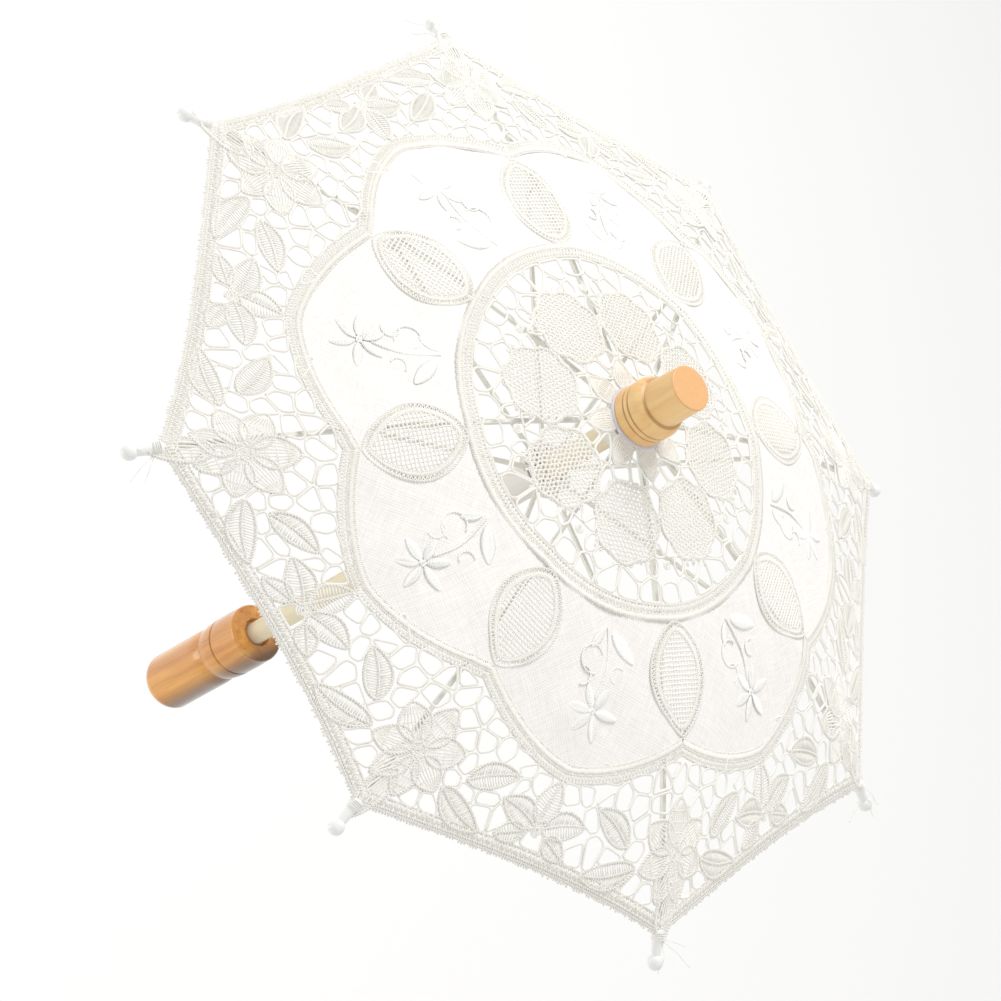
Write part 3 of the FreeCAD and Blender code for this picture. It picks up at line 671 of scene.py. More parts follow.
def ribbed_leaf(threads, base, angle, length, width, blunt=0.8, bend=0.0, pitch=0.98 * MM):
    """A leaf with a midrib: close stitches lean forward from it to a thick edge on both sides."""
    middle, half = leaf_outline(np.asarray(base), angle, length, width, blunt, bend)
    steps = np.linspace(0.6, LAST - 0.6, int(length / pitch))
    lean = 0.9
    for side in (1, -1):
        ends = []
        for number, step in enumerate(steps):
            near = at_station(step, middle)
            far = at_station(min(step + lean, LAST), middle + side * half)
            ends += [near, far] if number % 2 else [far, near]
        ends = np.array(ends) + 0.12 * MM * uneven_by(2 * len(ends)).reshape(-1, 2)
        threads.bars(ends[:-1], ends[1:], 0.40 * MM, 0.12 * MM)
    cord(threads, middle, 0.62 * MM, 0.25 * MM)
    cord(threads, leaf_edge(base, angle, length, width, blunt, bend), 0.72 * MM, 0.15 * MM)


def rosette(threads, middle, radius, thread=0.4 * MM):
    """A flat coil of thread."""
    turns = radius / (1.7 * thread)
    angle = np.linspace(0, TAU * turns, int(10 * turns) + 8)
    out = 0.3 * thread + radius * angle / angle[-1]
    threads.lay(np.asarray(middle) + polar(out, angle), thread, 0.15 * MM)


print("figures: woven petal, ribbed leaf, rosette")

# %% [markdown]
# ## Filling the ground between figures
# The holes are strewn by trial: a place is thrown, and it is kept if it lies clear of every figure and every
# other hole. Each gore repeats its neighbours' holes at its two sides, so that the net runs on unbroken.

# %% Strew the holes
TRIES = 2600
MIRROR_REACH = 9 * MM


def inside(points, edge):
    """Which points lie inside a closed outline."""
    hit = np.zeros(len(points), bool)
    for a, b in zip(edge, np.roll(edge, -1, axis=0)):
        crosses = (a[1] > points[:, 1]) != (b[1] > points[:, 1])
        if crosses.any() and abs(b[1] - a[1]) > 1e-12:
            hit ^= crosses & (points[:, 0] < a[0] + (points[:, 1] - a[1]) * (b[0] - a[0]) / (b[1] - a[1]))
    return hit


def mirrored(holes, edges, borders):
    """The image of each hole across every line near it, so that its ground ends on that line."""
    images = []
    for edge in edges:
        line = stepped(edge, 0.8 * MM)
        gap = np.hypot(holes[:, None, 0] - line[None, :, 0], holes[:, None, 1] - line[None, :, 1])
        near = gap.min(axis=1) < MIRROR_REACH
        images.append(2 * line[gap.argmin(axis=1)[near]] - holes[near])
    out, angle = np.hypot(holes[:, 0], holes[:, 1]), np.arctan2(holes[:, 1], holes[:, 0])
    for border in borders:
        near = np.abs(border(angle) - out) < MIRROR_REACH
        images.append(polar(2 * border(angle[near]) - out[near], angle[near]))
    return np.concatenate(images)


def around(places, turns):
    """The same places turned into other gores."""
    return np.concatenate([spun(places, turn) for turn in turns])


def strewn(chosen, edges, inner, outer, gap, off):
    """Fill the ground left free with more middles, none too near another or a figure."""
    holes = [np.asarray(c) for c in chosen]
    for _ in range(TRIES):
        angle = dice.uniform(-HALF, HALF)
        low, high = float(inner(angle)) + off, float(outer(angle)) - off
        if high <= low:
            continue
        spot = polar(dice.uniform(low, high), angle)
        others = around(np.array(holes), (0, -PITCH, PITCH)) if holes else np.empty((0, 2))
        if len(others) and np.hypot(*(others - spot).T).min() < gap:
            continue
        if any(np.hypot(*(edge - spot).T).min() < off or inside(spot[None], edge)[0] for edge in edges):
            continue
        holes.append(spot)
    return np.array(holes)


def net_cells(holes, edges, borders, far):
    """Outlines of the holes of one gore; its neighbours repeat it."""
    repeats = around(holes, (-PITCH, PITCH))
    everything = np.concatenate([holes, repeats, mirrored(holes, edges, borders)])
    return [outline for _, outline, _ in patches(everything, range(len(holes)), far)]


print("up to", TRIES, "places are tried in a gore")


# %% Draw the nets
def open_net(threads, cells, inset):
    """Ring every hole with thread."""
    for outline in cells:
        stray = np.array([dice.uniform(-0.18, 0.18), dice.uniform(-0.18, 0.18)]) * MM
        threads.lay(rounded(outline + stray, inset), BAR, dice.uniform(-0.08, 0.08) * MM, closed=True)


def fine_net(threads, edge, pitch, radius):
    """Fill an outline with a small many-sided net."""
    low, high = edge.min(axis=0), edge.max(axis=0)
    spots = []
    row = 0
    y = low[1]
    while y < high[1]:
        shift = 0.5 * pitch * (row % 2)
        spots += [(x + dice.uniform(-0.2, 0.2) * pitch, y + dice.uniform(-0.2, 0.2) * pitch)
                  for x in np.arange(low[0] - shift, high[0], pitch)]
        y += 0.87 * pitch
        row += 1
    spots = np.array(spots)
    drawn = np.flatnonzero(inside(spots, edge))
    starts, ends = [], []
    for index, outline, owners in patches(spots, drawn, 1.5 * pitch):
        for i, owner in enumerate(owners):
            if owner > index or (owner >= 0 and owner not in drawn):
                starts.append(outline[i])
                ends.append(outline[(i + 1) % len(outline)])
    threads.bars(np.array(starts), np.array(ends), radius, 0.05 * MM)


print("nets: open holes and fine net")

# %% [markdown]
# ## The outlines that the whole canopy shares
# The round tape that joins lace to linen, the almond windows, the scalloped edge of the linen and the hem.
# Each is a formula in how far out it lies and which way.

# %% Tape, almond, scallop and hem
TAPE_IN = 0.364 * REACH
LINEN_IN = 0.392 * REACH
ALMOND_IN, ALMOND_OUT, ALMOND_HALF = 0.412 * REACH, 0.588 * REACH, 11.0 * MM
CUSP, SCALLOP = 0.617 * REACH, 0.690 * REACH
CHORD = CORNER * math.cos(HALF)
HEM_CENTRE = CHORD + math.sqrt(HEM_ARC**2 - (CORNER * math.sin(HALF))**2)


def scallop_at(angle):
    """How far out the linen reaches; angle from the rib."""
    share = np.abs((angle + HALF) % PITCH - HALF) / HALF
    return CUSP + (SCALLOP - CUSP) * (1 - (1 - share)**1.35)


def hem_at(angle):
    """How far out the hem lies; angle from the rib."""
    off = HALF - np.abs((angle + HALF) % PITCH - HALF)
    return HEM_CENTRE * np.cos(off) - np.sqrt(HEM_ARC**2 - (HEM_CENTRE * np.sin(off))**2)


print("linen reaches", round(CUSP / MM, 1), "mm at a rib and", round(SCALLOP / MM, 1), "mm half-way")


# %% The almond window
def almond_half(out, grow=0.0):
    """Half width of the window at a distance from the middle, its border grown outward."""
    share = np.clip((out - (ALMOND_IN - grow)) / (ALMOND_OUT - ALMOND_IN + 2 * grow), 0, 1)
    return (ALMOND_HALF + grow) * np.sin(math.pi * share**0.92)**0.68


def almond(grow=0.0):
    """The closed outline of a window, in the gore of rib 1."""
    share = 0.5 - 0.5 * np.cos(np.linspace(0, math.pi, 30))
    out = ALMOND_IN - grow + share * (ALMOND_OUT - ALMOND_IN + 2 * grow)
    half = almond_half(out, grow)
    right = np.stack([out, -half], axis=1)
    left = np.stack([out, half], axis=1)[::-1]
    return np.concatenate([right, left[1:]])


fan = np.linspace(-HALF, HALF, 61)
print("hem at the rib and half-way, mm:", np.round(hem_at(np.array([0.0, HALF])) / MM, 1))

# %% [markdown]
# ## The lace round the shaft
# Eight pointed petals lie under the ferrule. Outside them stand eight medallions of fine net with seven
# scallops, half-way between ribs, and a little star on each rib. Rows of holes fill the rest up to the tape.

# %% Place the inner figures and holes
MEDALLION = 0.219 * REACH
MEDALLION_RADIUS = 15.2 * MM
STAR = 0.288 * REACH
PETAL = dict(base=(10.4 * MM, 0.0), angle=0.0, length=13.6 * MM, width=8.8 * MM, blunt=0.72)


def medallion_edge():
    turn = np.linspace(0, TAU, 113)
    return MEDALLION_RADIUS * polar(0.91 + 0.10 * np.abs(np.sin(3.5 * turn)), turn) + polar(MEDALLION, HALF)


def inner_cells():
    """Holes next to the tape, holes round the star, and what fits between the figures."""
    tape_row = [polar(0.337 * REACH, (spot - 2) * PITCH / 5) for spot in range(5)]
    star_row = [np.array([STAR, 0]) + polar(5.6 * MM, (spot + 0.5) / 6 * TAU) for spot in (1, 2, 3, 4)]
    medallions = [around(medallion_edge(), (turn,)) for turn in (0, -PITCH)]
    petals = [around(leaf_edge(**PETAL), (turn,)) for turn in (0, -PITCH, PITCH)]
    star = [np.array([STAR, 0.0]) + polar(np.full(13, 1.5 * MM), np.linspace(0, TAU, 13))]
    edges = medallions + petals + star

    def inner(angle):
        return 12.5 * MM + 0 * angle

    def outer(angle):
        return TAPE_IN - 0.5 * MM + 0 * angle

    holes = strewn(tape_row + star_row, edges, inner, outer, 6.4 * MM, 2.6 * MM)
    return net_cells(holes, edges, [outer], 11 * MM)


INNER_CELLS = inner_cells()
print("inner lace has", len(INNER_CELLS), "open holes to a gore")


# %% Draw one gore of the inner lace
def inner_lace(threads):
    woven_leaf(threads, **PETAL, pitch=0.95 * MM)
    edge = medallion_edge()
    fine_net(threads, edge, 1.86 * MM, 0.50 * MM)
    cord(threads, edge, 0.78 * MM, 0.1 * MM)
    rosette(threads, (STAR, 0.0), 1.7 * MM, 0.42 * MM)
    open_net(threads, INNER_CELLS, 0.56 * MM)

    tape = polar(np.full_like(fan, TAPE_IN), fan)
    cord(threads, tape, 0.62 * MM)
    stitches(threads, tape, 0.2 * MM, -3.4 * MM, 1.5 * MM, 0.40 * MM, uneven=0.25 * MM)
    stitches(threads, tape, -3.1 * MM, -6.1 * MM, 0.80 * MM, 0.38 * MM, 0.1 * MM, uneven=0.2 * MM)
    cord(threads, polar(np.full_like(fan, TAPE_IN + 3.2 * MM), fan), 0.40 * MM, 0.1 * MM)


print("round tape is sewn at", round(TAPE_IN / MM, 1), "mm")


# %% [markdown]
# ## Windows, sprigs and the scalloped edge
# Each rib shows through an almond window of square-mesh net. A satin band, a ladder and a cord frame it.
# Between two windows the linen carries a sprig in padded satin stitch: a six-petalled flower, two leaves and
# curling stems. The linen ends in scallops with the same band and ladder.

# %% Draw one window
WINDOW_PITCH = 1.62 * MM
WINDOW_WOBBLE = 0.14 * MM


def window(threads):
    """Square-mesh net inside the almond, then satin band, ladder and cord."""
    edge = almond()
    for out in np.arange(ALMOND_IN + 0.8 * MM, ALMOND_OUT, WINDOW_PITCH):
        half = float(almond_half(out))
        if half > 0.8 * MM:
            line = np.linspace((out, -half), (out, half), max(3, int(half / MM) + 2))
            line[:, 0] += WINDOW_WOBBLE * uneven_by(len(line))
            threads.lay(line, 0.46 * MM, 0.12 * MM)
    outs = np.linspace(ALMOND_IN, ALMOND_OUT, 44)
    first = -0.5 - int(ALMOND_HALF / WINDOW_PITCH)
    for across in np.arange(first, ALMOND_HALF / WINDOW_PITCH) * WINDOW_PITCH:
        within = outs[almond_half(outs) > abs(across)]
        if len(within) > 3:
            line = np.stack([within, np.full(len(within), across)], axis=1)
            line[:, 1] += WINDOW_WOBBLE * uneven_by(len(line))
            threads.lay(line, 0.46 * MM, -0.05 * MM)
    stitches(threads, edge, 0.4 * MM, -1.9 * MM, 0.80 * MM, 0.38 * MM, 0.15 * MM, uneven=0.15 * MM)
    stitches(threads, edge, -1.6 * MM, -3.3 * MM, 1.3 * MM, 0.34 * MM, 0.1 * MM, uneven=0.25 * MM)
    cord(threads, edge, 0.45 * MM, 0.2 * MM)
    cord(threads, almond(3.3 * MM), 0.55 * MM, 0.1 * MM)


print("window net has a pitch of", round(WINDOW_PITCH / MM, 2), "mm")

# %% Draw one gore of the scalloped edge
SCALLOP_TAPE = 3.8 * MM


def scalloped_edge(threads):
    """The band and ladder that end the linen."""
    line = polar(scallop_at(fan), fan)
    cord(threads, line + leftward(line) * 1.7 * MM, 0.40 * MM, 0.1 * MM)
    stitches(threads, line, 1.6 * MM, -1.2 * MM, 0.80 * MM, 0.38 * MM, 0.15 * MM, uneven=0.2 * MM)
    stitches(threads, line, -1.0 * MM, -3.7 * MM, 1.35 * MM, 0.34 * MM, 0.1 * MM, uneven=0.18 * MM)
    cord(threads, line - leftward(line) * 1.2 * MM, 0.45 * MM, 0.2 * MM)
    cord(threads, line - leftward(line) * SCALLOP_TAPE, 0.62 * MM)


print("scalloped tape is", round(SCALLOP_TAPE / MM, 1), "mm wide")

# %% Padded leaves and curling stems
SATIN_PITCH = 0.52 * MM
SATIN_SWELL = 0.24 * MM
CURL_END = 0.75
SMOOTH_PASSES = 4


def satin_leaf(threads, base, angle, length, width):
    """A padded leaf: close threads from edge to edge that rise in the middle."""
    middle, half = leaf_outline(np.asarray(base), angle, length, width, 0.8)
    lean = 0.35 * width * np.array([math.cos(angle), math.sin(angle)])
    for step in np.arange(0.5, LAST - 0.4, SATIN_PITCH / length * LAST):
        at, wide = at_station(step, middle), at_station(step, half)
        share = np.linspace(-1, 1, 7)
        line = at + share[:, None] * wide + np.abs(share)[:, None] * lean * np.hypot(*wide) / width
        swell = SATIN_SWELL * (1 - share**2) * min(1.0, 2.2 * np.hypot(*wide) / width)
        threads.lay(line, 0.31 * MM, 0.06 * MM + swell)


def curl(threads, middle, radius, start, sweep):
    """A stem that curls, as one cord."""
    share = np.linspace(0, 1, 22)
    out = radius * (1 - (1 - CURL_END) * share)
    cord(threads, np.asarray(middle) + polar(out, start + sweep * share), 0.42 * MM, 0.2 * MM)


def smooth_line(points):
    """Round the corners of a line and keep its ends."""
    for _ in range(SMOOTH_PASSES):
        here, after = points[:-1], points[1:]
        cut = np.stack([0.75 * here + 0.25 * after, 0.25 * here + 0.75 * after], axis=1)
        points = np.concatenate([points[:1], cut.reshape(-1, 2), points[-1:]])
    return points


print("satin leaves swell by", round(SATIN_SWELL / MM, 2), "mm")


# %% Draw one sprig
def sprig(threads):
    """The flower and leaves between two windows. Places are out from the shaft, and round from half-way."""
    def spot(out, degrees):
        return polar(out * REACH, HALF + math.radians(degrees))

    heart = spot(0.580, 0.3)
    for petal, length in zip((-90, -38, 22, 90, 150, 207), (1.0, 0.95, 1.0, 1.05, 0.95, 0.9)):
        angle = HALF + math.radians(petal)
        satin_leaf(threads, heart + polar(1.1 * MM, angle), angle, 9.8 * MM * length, 3.5 * MM)
    rosette(threads, heart, 1.1 * MM, 0.33 * MM)
    fork = spot(0.425, -0.4)
    satin_leaf(threads, spot(0.432, 1.2), HALF + math.radians(57), 14.5 * MM, 5.6 * MM)
    satin_leaf(threads, spot(0.430, -1.4), HALF - math.radians(28), 8.4 * MM, 3.6 * MM)
    stem = np.array([fork, spot(0.462, 0.9), spot(0.498, 1.6), spot(0.530, 1.0), spot(0.556, 0.2)])
    cord(threads, smooth_line(stem), 0.42 * MM, 0.2 * MM)
    curl(threads, spot(0.487, -2.6), 5.6 * MM, HALF + 0.4, -4.6)
    curl(threads, spot(0.522, -4.0), 3.7 * MM, HALF - 0.2, 3.6)
    curl(threads, spot(0.508, 4.6), 3.4 * MM, HALF + 2.6, 3.4)


print("a sprig has six petals, two leaves and three curls")

# %% [markdown]
# ## The border lace
# At every rib a big flower in cloth stitch fans out from the corner, two ribbed leaves lie beside it along
# the hem and two more point to the scallops; half-way between ribs there is a palm of five. Open holes fill
# the rest, with a fan of them over each flower. A ladder tape with a fuzzy row of little loops makes the hem.

# %% Place the border's flowers and leaves
BLOSSOM = 0.815 * REACH
BLOSSOM_PETALS = (
    # way it points from outward, start from the heart, length, width
    (180, 2.4, 17.0, 11.5), (128, 2.4, 15.5, 11.0), (-128, 2.4, 15.5, 11.0), (74, 2.4, 14.0, 10.5),
    (-74, 2.4, 14.0, 10.5), (20, 2.0, 15.0, 9.5), (-20, 2.0, 15.0, 9.5), (0, 9.0, 21.0, 9.0),
)
BORDER_LEAVES = (
    # out and round from the rib, way it points from outward, length, width, bend
    (0.836, -6.0, -84, 23.0, 9.2, 0.07), (0.828, 6.4, 82, 22.5, 9.2, -0.07),
    (0.800, -8.2, -128, 20.0, 9.0, -0.05), (0.792, 8.6, 126, 20.0, 9.0, 0.05),
    (0.792, 21.4, 172, 15.0, 10.0, 0.0), (0.800, 22.6, 108, 17.5, 9.5, 0.05),
    (0.800, 21.4, -106, 17.5, 9.5, -0.05), (0.812, 23.6, 66, 12.0, 7.0, 0.0),
    (0.812, 20.4, -66, 12.0, 7.0, 0.0),
)
PALM = (0.803, 22.0)
LEAF_BLUNT = 0.86


def border_figures():
    """Every petal and leaf of one gore's border, ready to outline or weave."""
    heart = polar(BLOSSOM, math.radians(0.4))
    figures = []
    for way, start, length, width in BLOSSOM_PETALS:
        angle = math.radians(way)
        figures.append(dict(base=heart + polar(start * MM, angle), angle=angle, length=length * MM,
                            width=width * MM, blunt=LEAF_BLUNT))
    for out, degrees, way, length, width, bend in BORDER_LEAVES:
        angle = math.radians(degrees)
        figures.append(dict(base=polar(out * REACH, angle), angle=angle + math.radians(way),
                            length=length * MM, width=width * MM, blunt=LEAF_BLUNT, bend=bend))
    return figures


BORDER_FIGURES = border_figures()
print("border has", len(BORDER_FIGURES), "woven or ribbed figures to a gore")

# %% Place the border's holes
HEM_TAPE = 4.6 * MM


def border_inner(angle):
    """Where the border's net starts, outside the scalloped tape."""
    return scallop_at(angle) + SCALLOP_TAPE + 0.5 * MM


def border_outer(angle):
    """Where it ends, inside the hem tape."""
    return hem_at(angle) - HEM_TAPE


def border_cells():
    """A fan of holes over each flower, and what fits between the figures."""
    fan_row = [polar(0.682 * REACH, math.radians(7.4 * (spot - 2))) for spot in range(5)]
    edges = [around(leaf_edge(**figure), (turn,)) for figure in BORDER_FIGURES for turn in (0, -PITCH, PITCH)]
    fan_row = [spot for spot in fan_row if not any(inside(spot[None], edge)[0] for edge in edges)]
    holes = strewn(fan_row, edges, border_inner, border_outer, 6.1 * MM, 2.1 * MM)
    return net_cells(holes, edges, [border_inner, border_outer], 15 * MM)


BORDER_CELLS = border_cells()
print("and", len(BORDER_CELLS), "open holes")


# %% Draw one gore of the border
def border_lace(threads):
    for number, figure in enumerate(BORDER_FIGURES):
        figured = woven_leaf if number < len(BLOSSOM_PETALS) else ribbed_leaf
        figured(threads, **figure)
    rosette(threads, polar(BLOSSOM, math.radians(0.4)), 3.4 * MM, 0.45 * MM)
    rosette(threads, polar(PALM[0] * REACH, math.radians(PALM[1])), 2.4 * MM, 0.45 * MM)
    open_net(threads, BORDER_CELLS, 0.60 * MM)


def hem(threads):
    """Ladder tape with cords on both sides and a fuzzy row of little loops outside."""
    line = polar(hem_at(fan) - 2.0 * MM, fan)
    side = leftward(line)
    cord(threads, line + side * 2.4 * MM, 0.60 * MM)
    stitches(threads, line, 2.3 * MM, -0.9 * MM, 1.25 * MM, 0.36 * MM, uneven=0.2 * MM)
    stitches(threads, line, 2.1 * MM, -0.7 * MM, 2.1 * MM, 0.30 * MM, 0.25 * MM, uneven=0.35 * MM)
    cord(threads, line - side * 1.0 * MM, 0.72 * MM)
    cord(threads, line - side * 1.9 * MM, 0.55 * MM, 0.1 * MM)
    stitches(threads, line, -1.7 * MM, -2.9 * MM, 1.25 * MM, 0.32 * MM, 0.1 * MM, uneven=0.5 * MM)


print("hem tape is", round(HEM_TAPE / MM, 1), "mm wide")

# %% [markdown]
# ## The linen
# Between tape and scallops the canopy is plain linen, cut away behind every window. It is one stretched ring;
# here each rib's share of it is its own thin solid, so that it can fold with its rib, and the shares meet
# edge to edge. The surface follows the canopy with a few shallow draws where the stitching pulls it.

# %% Places on one rib's share of the linen
ACROSS, DOWN = 26, 44
LINEN_THICK = 0.24 * MM
WEAVE_TILT = math.radians(30)
DRAW_DEPTH = 0.16 * MM


def linen_grid(side):
    """Flat places of half a share: from the window's edge to half-way between two ribs."""
    rows = []
    for down in np.linspace(0, 1, DOWN + 1):
        angle = 0.0
        for _ in range(12):
            out = LINEN_IN + down * (scallop_at(angle) - LINEN_IN)
            angle = math.asin(float(almond_half(out, 1.6 * MM)) / out)
        angles = angle + (HALF - angle) * np.linspace(0, 1, ACROSS + 1)
        outs = LINEN_IN + down * (scallop_at(angles) - LINEN_IN)
        rows.append(polar(outs, side * angles))
    return np.array(rows)


def draws(flat):
    """Shallow pulls in the linen, under half a millimetre."""
    x, y = flat[:, 0] / MM, flat[:, 1] / MM
    along = np.sin(0.21 * x + 1.3 * np.sin(0.09 * y))
    across = np.sin(0.27 * y + 0.11 * x + 1.7 * np.sin(0.05 * x))
    return DRAW_DEPTH * (along + across)


print("a share has", 2 * ACROSS * DOWN, "faces on each side")


# %% Make one rib's share of the linen
def linen_share(name, turn):
    """A thin closed solid in two halves, each with its top, its underside and a wall round its rim."""
    corners, faces, weave = [], [], []
    count = 0
    for side in (1, -1):
        grid = linen_grid(side).reshape(-1, 2)
        turned = spun(grid, turn)
        wave = draws(turned)
        top = draped(turned, LACE_LIFT + wave)
        low = draped(turned, LACE_LIFT - LINEN_THICK + wave)
        size = len(grid)
        across = ACROSS + 1
        cell = np.array([r * across + c for r in range(DOWN) for c in range(ACROSS)])
        quads = np.stack([cell, cell + across, cell + across + 1, cell + 1], axis=1)
        if side < 0:
            quads = quads[:, ::-1]
        first_row, last_row = np.arange(across), DOWN * across + np.arange(across)
        left, right = np.arange(DOWN + 1) * across, np.arange(DOWN + 1) * across + ACROSS
        rim = np.concatenate([first_row[::-1], left[1:], last_row[1:], right[-2:0:-1]])
        after = np.roll(rim, -1)
        wall = np.stack([rim, rim + size, after + size, after], axis=1)
        if side < 0:
            wall = wall[:, ::-1]
        corners += [top, low]
        faces += [quads + count, quads[:, ::-1] + count + size, wall[:, ::-1] + count]
        weave += [grid, grid]
        count += 2 * size
    made = solid(name, np.concatenate(corners), np.concatenate(faces), LINEN)
    made.data.set_sharp_from_angle(angle=math.radians(50))
    chart = made.data.uv_layers.new(name="weave")
    picks = np.empty(len(made.data.loops), np.int32)
    made.data.loops.foreach_get("vertex_index", picks)
    flat = spun(np.concatenate(weave), WEAVE_TILT)
    chart.data.foreach_set("uv", flat[picks].astype(np.float32).ravel())
    return made


print("linen is", round(LINEN_THICK / MM, 2), "mm thick")

# %% [markdown]
# ## Eight gores
# Now every gore is drawn at its own rib. The same steps with fresh small unevenness make each gore a
# little different, as handwork is. The pieces ride on the rib and close up towards it like pleats when the
# parasol folds.

# %% Make the gores
LACE_STEPS = (("inner_lace", (inner_lace,)), ("window_lace", (window, scalloped_edge)),
              ("sprig", (sprig,)), ("border_lace", (border_lace, hem)))
for k in range(1, RIBS + 1):
    turn = (k - 1) * PITCH
    gore = []
    for label, steps in LACE_STEPS:
        threads = Threads(turn)
        for step in steps:
            step(threads)
        gore.append(threads.piece(f"{label}_{k}", FLOSS if label == "sprig" else COTTON))
    cloth = linen_share(f"linen_{k}", turn)
    for piece in [cloth] + gore:
        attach(piece, f"rib_{k}")
        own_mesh(piece)
    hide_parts(f"canopy_{k}")

# %% [markdown]
# ## The middle and the corners
# Under the washer the lace ends in a small coil gathered round the shaft. At each corner the hem is bound to
# its tip with a few turns of sewing thread, and the maker left the ends of some of them long.

# %% Coil the middle
COIL_STEPS = 240
middle = Threads(0.0)
angle = np.linspace(0, TAU * 7, COIL_STEPS)
out = np.linspace(5.3 * MM, 10.8 * MM, COIL_STEPS)
coil_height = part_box("canopy_centre")[0][2] + 0.3 * MM
middle.sweep(np.column_stack([polar(out, angle), np.full(COIL_STEPS, coil_height)]), 0.42 * MM)
centre_lace = middle.piece("centre_lace", COTTON)
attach(centre_lace, "frame")
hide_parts("canopy_centre")
print("the coil lies at", round(coil_height / MM, 1), "mm")

# %% Bind the corners
TIP_SLOPE = math.radians(26)
WOUND_STEPS = 110
# for each bound tip: length of its longest end in mm, and the way it points
LOOSE_ENDS = {1: (16, -0.5), 2: (5, 0.4), 4: (12, 0.9), 5: (13, -0.6), 6: (11, 0.5), 8: (15, 0.8)}


def binding(k):
    """Thread wound round the root of a tip, with its loose ends."""
    threads = Threads(0.0)
    turn = (k - 1) * PITCH
    outward = np.array([math.cos(turn), math.sin(turn), 0.0])
    sideways = np.array([-math.sin(turn), math.cos(turn), 0.0])
    down = math.cos(TIP_SLOPE) * outward - math.sin(TIP_SLOPE) * np.array([0, 0, 1.0])
    rise = np.cross(down, sideways) * -1
    root = outward * (tip_low[0] + 1.4 * MM) + np.array([0, 0, dome(tip_low[0] - 1.0 * MM, 0.0) - 1.9 * MM])
    turns = np.linspace(0, 6 * TAU, WOUND_STEPS)
    run = np.linspace(0, 3.0 * MM, WOUND_STEPS) + 0.25 * MM * np.sin(turns * 0.37)
    hoop = np.cos(turns)[:, None] * sideways + np.sin(turns)[:, None] * rise
    wound = root + run[:, None] * down + 2.35 * MM * hoop
    threads.sweep(wound, 0.24 * MM)
    if k in LOOSE_ENDS:
        length, way = LOOSE_ENDS[k]
        share = np.linspace(0, 1, 24)
        for stray in (0.0, 0.55, -0.7):
            size = length * MM * (1 - 0.3 * abs(stray))
            aim = way + stray
            path = wound[-1] + share[:, None] * size * (math.cos(aim) * outward + math.sin(aim) * sideways)
            droop = sideways * math.sin(3 * stray + 1) - np.array([0, 0, 0.8])
            path = path + (share**2)[:, None] * size * 0.35 * droop
            path = path + 0.5 * MM * np.sin(9 * share + stray)[:, None] * rise
            threads.sweep(path, 0.17 * MM)
    made = threads.piece(f"tip_binding_{k}", COTTON)
    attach(made, f"rib_{k}")
    return made


bindings = [binding(k) for k in range(1, RIBS + 1)]
print("bound", len(bindings), "corners")

# %% [markdown]
# ## Floor, light and camera
# White lace on a pale ground shows only by its shading, so the light is large and soft but comes mostly from
# one side. A small low light in front of the stick gives the varnished handle its pale reflection. The floor
# lies well below, so that the canopy throws no hard shadow on it.

# %% Lay the floor
def plain_floor():
    """A wide pale sheet, far below the parasol."""
    size, drop = 9.0, -0.45
    corners = np.array([(-size, -size, drop), (size, -size, drop), (size, size, drop), (-size, size, drop)])
    finish = Finish("pale_floor")
    cloud = finish.noise((0.8, 0.8, 0.8), 1)
    paint = finish.wear(finish.mixed(cloud, (0.93, 0.93, 0.925), (0.91, 0.91, 0.905)), 0.9 + cloud * 0.05)
    return solid("floor", corners, np.array([[0, 1, 2, 3]]), paint)


floor = plain_floor()
print("floor lies at", floor.data.vertices[0].co.z, "m")


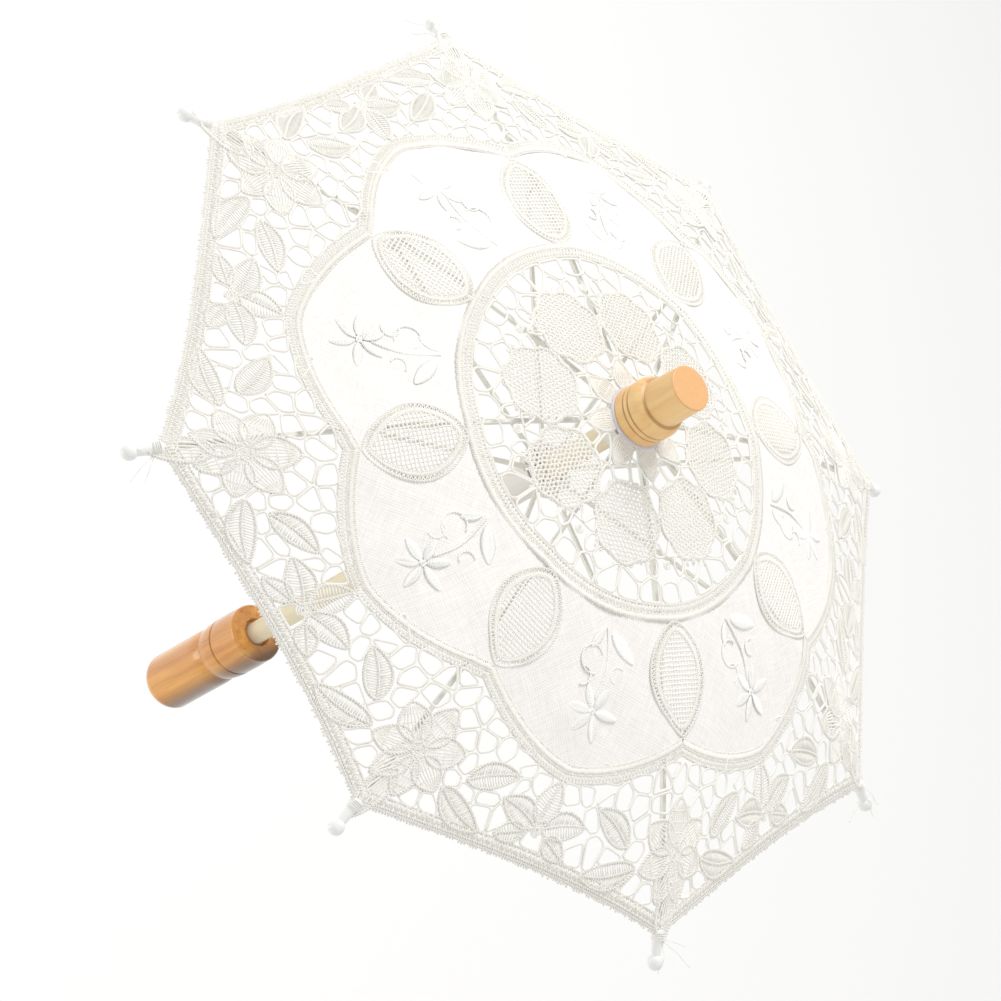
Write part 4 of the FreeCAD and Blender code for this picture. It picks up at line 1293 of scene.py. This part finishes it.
# %% Set the lights
def soft_light(name, azimuth, elevation, distance, size, power, centre=(0, 0, 0.25)):
    """A round soft lamp that faces a place on the parasol."""
    lamp = bpy.data.lights.new(name, "AREA")
    lamp.shape = "DISK"
    lamp.size = size
    lamp.energy = power
    made = bpy.data.objects.new(name, lamp)
    bpy.context.collection.objects.link(made)
    way = Vector((math.cos(azimuth) * math.cos(elevation), math.sin(azimuth) * math.cos(elevation),
                  math.sin(elevation)))
    made.location = Vector(centre) + way * distance
    made.rotation_euler = way.to_track_quat("Z", "Y").to_euler()
    return made


key = soft_light("key", math.radians(120), math.radians(50), 1.8, 0.9, 20)
fill = soft_light("fill", math.radians(-60), math.radians(35), 2.2, 1.6, 4.5)
glint = soft_light("glint", math.radians(-148), math.radians(-20), 0.85, 0.50, 1.7, (0, 0, 0.05))
world = bpy.data.worlds.new("studio")
world.use_nodes = True
world.node_tree.nodes["Background"].inputs[0].default_value = (1.0, 0.995, 0.985, 1)
world.node_tree.nodes["Background"].inputs[1].default_value = 0.745
bpy.context.scene.world = world
bpy.context.scene.view_settings.view_transform = "Standard"
print("lit by", key.name, fill.name, "and", glint.name)

# %% Stand the camera
# how far away, to the left and low it stands, in reaches of the ribs
CAMERA_AWAY, CAMERA_LEFT, CAMERA_LOW = 6.59, 0.0765, 0.0539
CAMERA_RISE = math.radians(43.23)
CAMERA_ROLL = math.radians(60.66)
CAMERA_ROUND = math.radians(-21.99)
back = Vector((0, -math.cos(CAMERA_RISE), math.sin(CAMERA_RISE)))
right = Vector((1, 0, 0))
up = Vector((0, math.sin(CAMERA_RISE), math.cos(CAMERA_RISE)))
image_right = math.cos(CAMERA_ROLL) * right + math.sin(CAMERA_ROLL) * up
image_up = -math.sin(CAMERA_ROLL) * right + math.cos(CAMERA_ROLL) * up
stand = (CAMERA_AWAY * back - CAMERA_LEFT * image_right - CAMERA_LOW * image_up) * REACH
facing = Matrix((image_right, image_up, back)).transposed().to_4x4()
lens = bpy.data.cameras.new("camera")
lens.lens = 119.2
lens.sensor_width = 36
camera = bpy.data.objects.new("camera", lens)
bpy.context.collection.objects.link(camera)
ball_height = tip_low[2] + BALL
camera.matrix_world = (Matrix.Translation((0, 0, ball_height)) @ Matrix.Rotation(CAMERA_ROUND, 4, "Z")
                       @ Matrix.Translation(stand) @ facing)
bpy.context.scene.camera = camera
print("camera at", [round(c, 3) for c in camera.matrix_world.translation])
